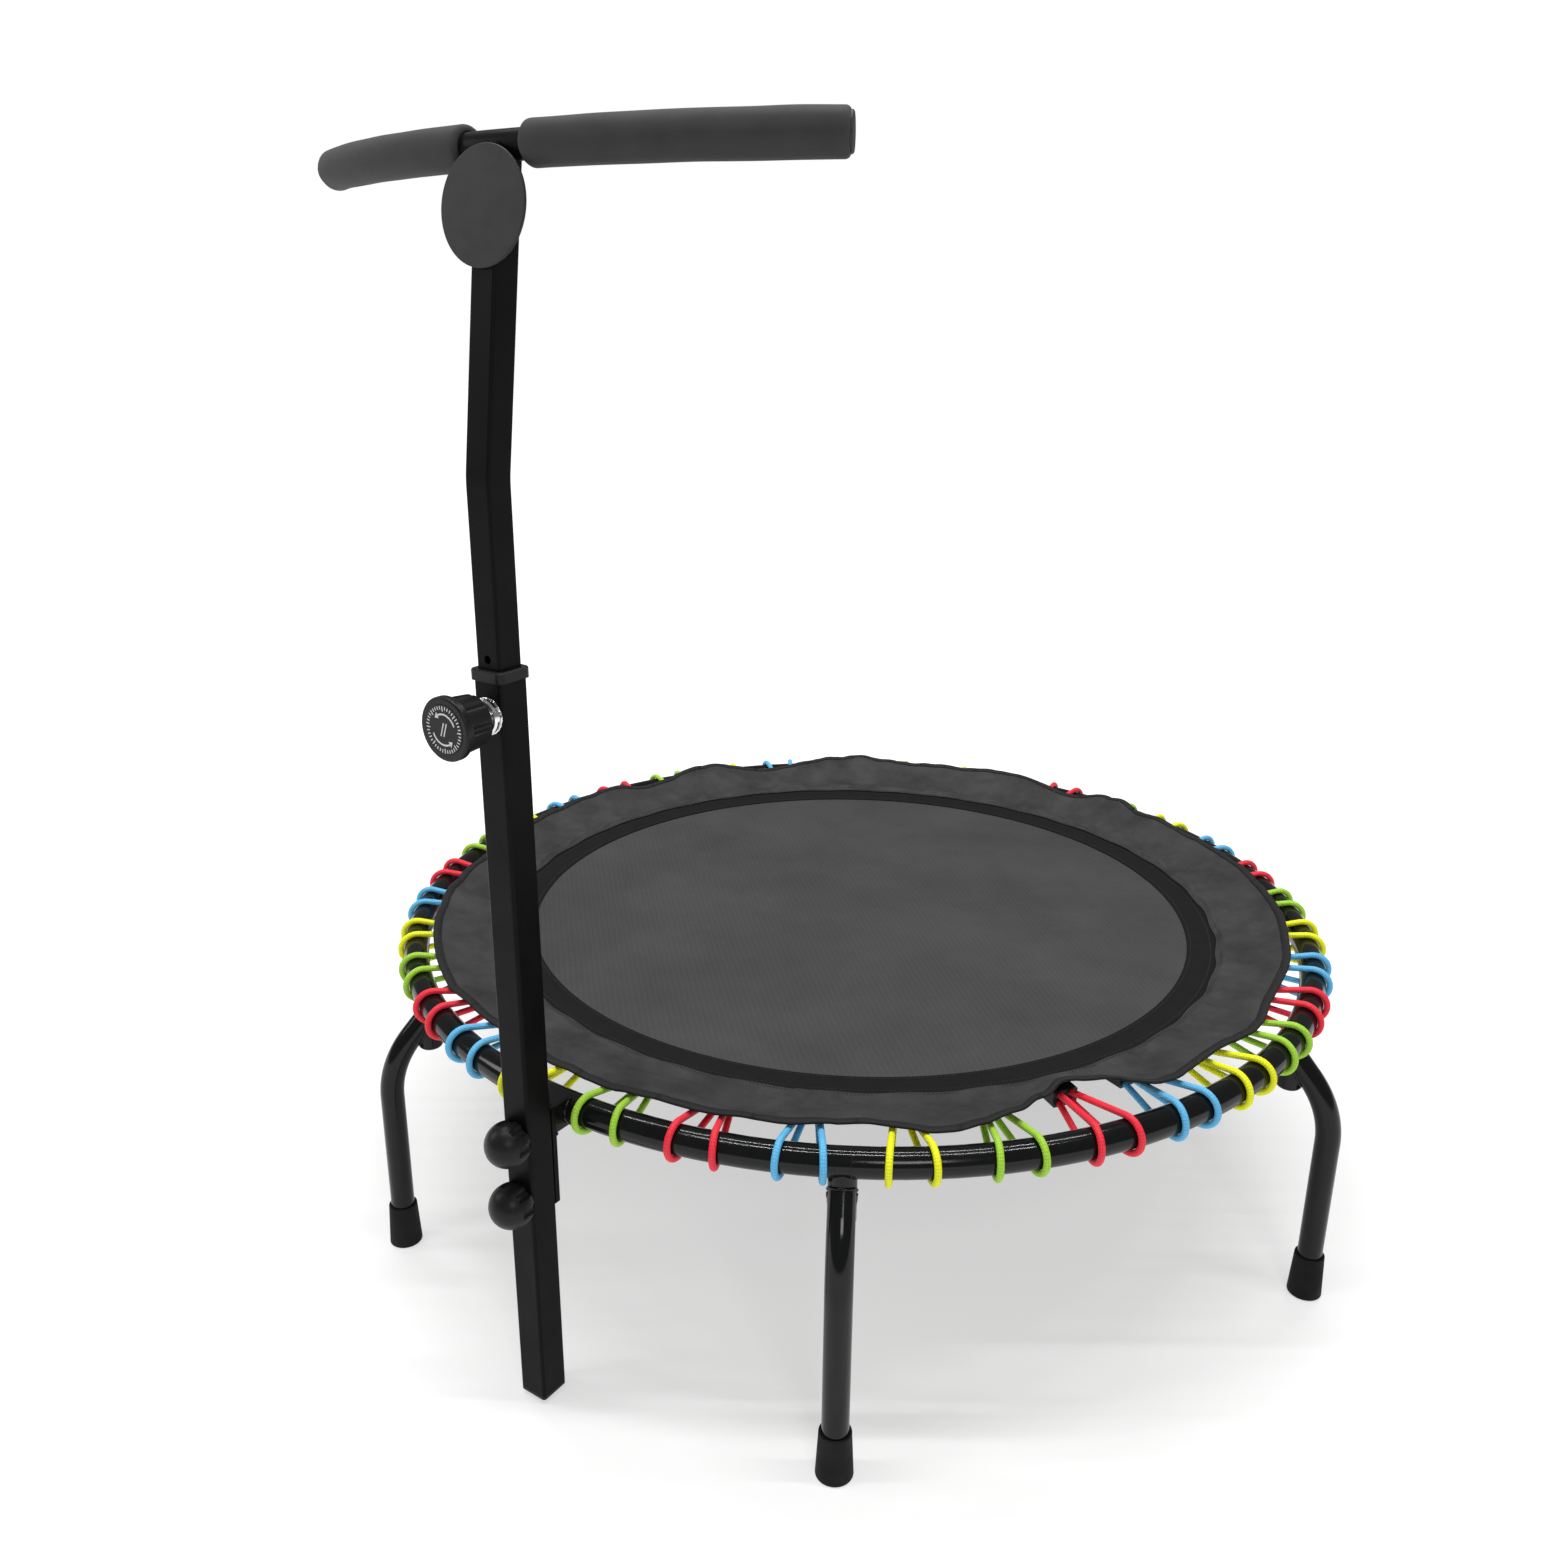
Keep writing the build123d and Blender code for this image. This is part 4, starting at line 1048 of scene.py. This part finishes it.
def print_arrow(build, start):
    """A bent arrow that begins at an angle and sweeps through 100 degrees and its head."""
    steps = 14
    sweep = 100
    ink = PRINT_NORMAL * PRINT_THICKNESS
    first = len(build.points)
    for k in range(steps + 1):
        angle = start + sweep * k / steps
        inner = on_face(0.0117, angle)
        outer = on_face(0.0131, angle)
        build.points += [inner, outer, inner - ink, outer - ink]
    for k in range(steps):
        a = first + 4 * k
        b = a + 4
        build.faces += [(a, a + 1, b + 1, b), (a + 2, b + 2, b + 3, a + 3)]
        build.faces += [(a, b, b + 2, a + 2), (a + 1, a + 3, b + 3, b + 1)]
    last = first + 4 * steps
    build.faces += [(first, first + 2, first + 3, first + 1), (last, last + 1, last + 3, last + 2)]
    wings = start + sweep - 2
    head = [on_face(0.0124, wings + 18), on_face(0.0098, wings), on_face(0.0150, wings)]
    n = len(build.points)
    build.points += head + [point - ink for point in head]
    build.faces += [(n, n + 2, n + 1), (n + 3, n + 4, n + 5), (n, n + 1, n + 4, n + 3)]
    build.faces += [(n + 1, n + 2, n + 5, n + 4), (n + 2, n, n + 3, n + 5)]


def make_knob_print():
    """Generic marks on the knob's face: a dial of ticks, two turning arrows and two bars."""
    build = Build()
    ticks = 40
    for k in range(ticks):
        angle = 360 / ticks * k
        middle, length = (0.0169, 0.0042) if k % 5 == 0 else (0.0175, 0.0028)
        outward = on_face(1, angle) - on_face(0, angle)
        place = facing(on_face(middle, angle), outward, PRINT_NORMAL)
        build.block(place, (length, 0.0009, PRINT_THICKNESS), PRINT_TAPER)
    for start in (20, 200):
        print_arrow(build, start)
    for offset in (-0.0016, 0.0016):
        place = facing(Vector((offset, PRINT_FACE, KNOB_HEIGHT)), Vector((0.35, 0, 1)), PRINT_NORMAL)
        build.block(place, (0.0115, 0.0011, PRINT_THICKNESS), PRINT_TAPER)
    build.piece("knob_print", PRINT, "knob_mark", KNOB_BODY, smooth=False)


def make_pin_spring():
    """The pin's return spring, one rigid coil on the pin's body; the real one closes up against the barrel's
    end when the knob is pulled.
    """
    low, high = node_box("pin_spring")
    wire = 0.0006
    turns = 4.5
    steps = 108
    coil = (high.x - low.x) / 2 - wire
    first = high.y - wire
    last = low.y + wire
    path = []
    for i in range(steps + 1):
        y = first + (last - first) * i / steps
        path.append(pin_circle(coil, y, 2 * math.pi * turns * i / steps))
    build = Build()
    build.tube(path, wire, sides=8, up=ALONG_Y)
    spring = build.piece("return_spring", CHROME, "chrome_plate", PIN_BODY)
    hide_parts("pin_spring")
    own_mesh(spring)


# ---------------------------------------------------------------- stage
def make_horizon(tree, shader):
    """Let the floor's own light grow away from the object, so that it meets the white studio."""
    place = tree.nodes.new("ShaderNodeTexCoord").outputs["Object"]
    length = tree.nodes.new("ShaderNodeVectorMath")
    length.operation = "LENGTH"
    tree.links.new(place, length.inputs[0])
    glow = tree.nodes.new("ShaderNodeMapRange")
    tree.links.new(length.outputs["Value"], glow.inputs["Value"])
    for socket, number in zip(glow.inputs[1:5], (0.6, 2.4, 0.52, 1.0)):
        socket.default_value = number
    tree.links.new(glow.outputs[0], shader.inputs["Emission Strength"])


def make_stage():
    """A plain white floor, a hair below the feet."""
    size = 12
    height = -0.0004
    mesh = bpy.data.meshes.new("floor")
    corners = [(-size, -size, height), (size, -size, height), (size, size, height), (-size, size, height)]
    mesh.from_pydata(corners, [], [(0, 1, 2, 3)])
    material = bpy.data.materials.new("floor_white")
    material.use_nodes = True
    shader = material.node_tree.nodes["Principled BSDF"]
    shader.inputs["Base Color"].default_value = (0.55, 0.55, 0.55, 1)
    shader.inputs["Roughness"].default_value = 0.9
    shader.inputs["Specular IOR Level"].default_value = 0.1
    shader.inputs["Emission Color"].default_value = (1, 1, 1, 1)
    make_horizon(material.node_tree, shader)
    mesh.materials.append(material)
    floor = bpy.data.objects.new("floor", mesh)
    bpy.context.scene.collection.objects.link(floor)


def area_light(name, place, azimuth, tilt, size, power):
    """A rectangular light: tilt 0 shines straight down, and its first side is level across azimuth."""
    data = bpy.data.lights.new(name, "AREA")
    data.shape = "RECTANGLE"
    data.size, data.size_y = size
    data.energy = power
    light = bpy.data.objects.new(name, data)
    light.location = place
    light.rotation_euler = (tilt, 0, azimuth)
    bpy.context.scene.collection.objects.link(light)


def make_lights():
    """A white studio, dimmer for the light that it gives than it looks, with overhead strips."""
    world = bpy.data.worlds.new("studio")
    world.use_nodes = True
    tree = world.node_tree
    background = tree.nodes["Background"]
    background.inputs["Color"].default_value = (1, 1, 1, 1)
    seen = tree.nodes.new("ShaderNodeLightPath")
    brightness = tree.nodes.new("ShaderNodeMapRange")
    brightness.inputs["To Min"].default_value = 0.22
    brightness.inputs["To Max"].default_value = 1.0
    tree.links.new(seen.outputs["Is Camera Ray"], brightness.inputs["Value"])
    tree.links.new(brightness.outputs[0], background.inputs["Strength"])
    bpy.context.scene.world = world
    strip = (2.8, 0.05)
    area_light("strip_far", (-0.35, 0.5, 3.0), CAMERA_AZIMUTH, 0, strip, 50)
    area_light("strip_near", (0.35, -0.5, 3.0), CAMERA_AZIMUTH, 0, strip, 50)
    area_light("key", (2.3, -2.4, 2.5), CAMERA_AZIMUTH + math.radians(12), math.radians(52), (0.9, 0.9), 24)
    area_light("left_fill", (-2.4, -1.7, 1.9), math.radians(-55), math.radians(58), (0.7, 1.2), 16)


CAMERA_PLACE = (0.7748, -1.3067, 0.9887)
CAMERA_AZIMUTH = math.radians(34.493)
CAMERA_DROP = math.radians(18.964)
CAMERA_ROLL = math.radians(0.333)


def make_camera():
    data = bpy.data.cameras.new("camera")
    data.sensor_width = 36
    data.lens = 31.67
    camera = bpy.data.objects.new("camera", data)
    forward = Vector(
        (
            -math.sin(CAMERA_AZIMUTH) * math.cos(CAMERA_DROP),
            math.cos(CAMERA_AZIMUTH) * math.cos(CAMERA_DROP),
            -math.sin(CAMERA_DROP),
        )
    )
    level = forward.cross(UP).normalized()
    upright = level.cross(forward)
    right = level * math.cos(CAMERA_ROLL) + upright * math.sin(CAMERA_ROLL)
    up = upright * math.cos(CAMERA_ROLL) - level * math.sin(CAMERA_ROLL)
    matrix = Matrix((right, up, -forward)).transposed().to_4x4()
    matrix.translation = CAMERA_PLACE
    camera.matrix_world = matrix
    bpy.context.scene.collection.objects.link(camera)
    bpy.context.scene.camera = camera


make_camera()
dress_cad_nodes()
make_mat()
make_band()
make_tabs()
make_cords()
make_skirt()
make_seam_stitches()
make_grip(-1, "left")
make_grip(1, "right")
make_leg_welds()
make_arm_welds()
make_nut_weld()
make_ring_seams()
make_pin_spring()
make_knob_print()
make_stage()
make_lights()
bpy.context.scene.view_settings.view_transform = "Standard"
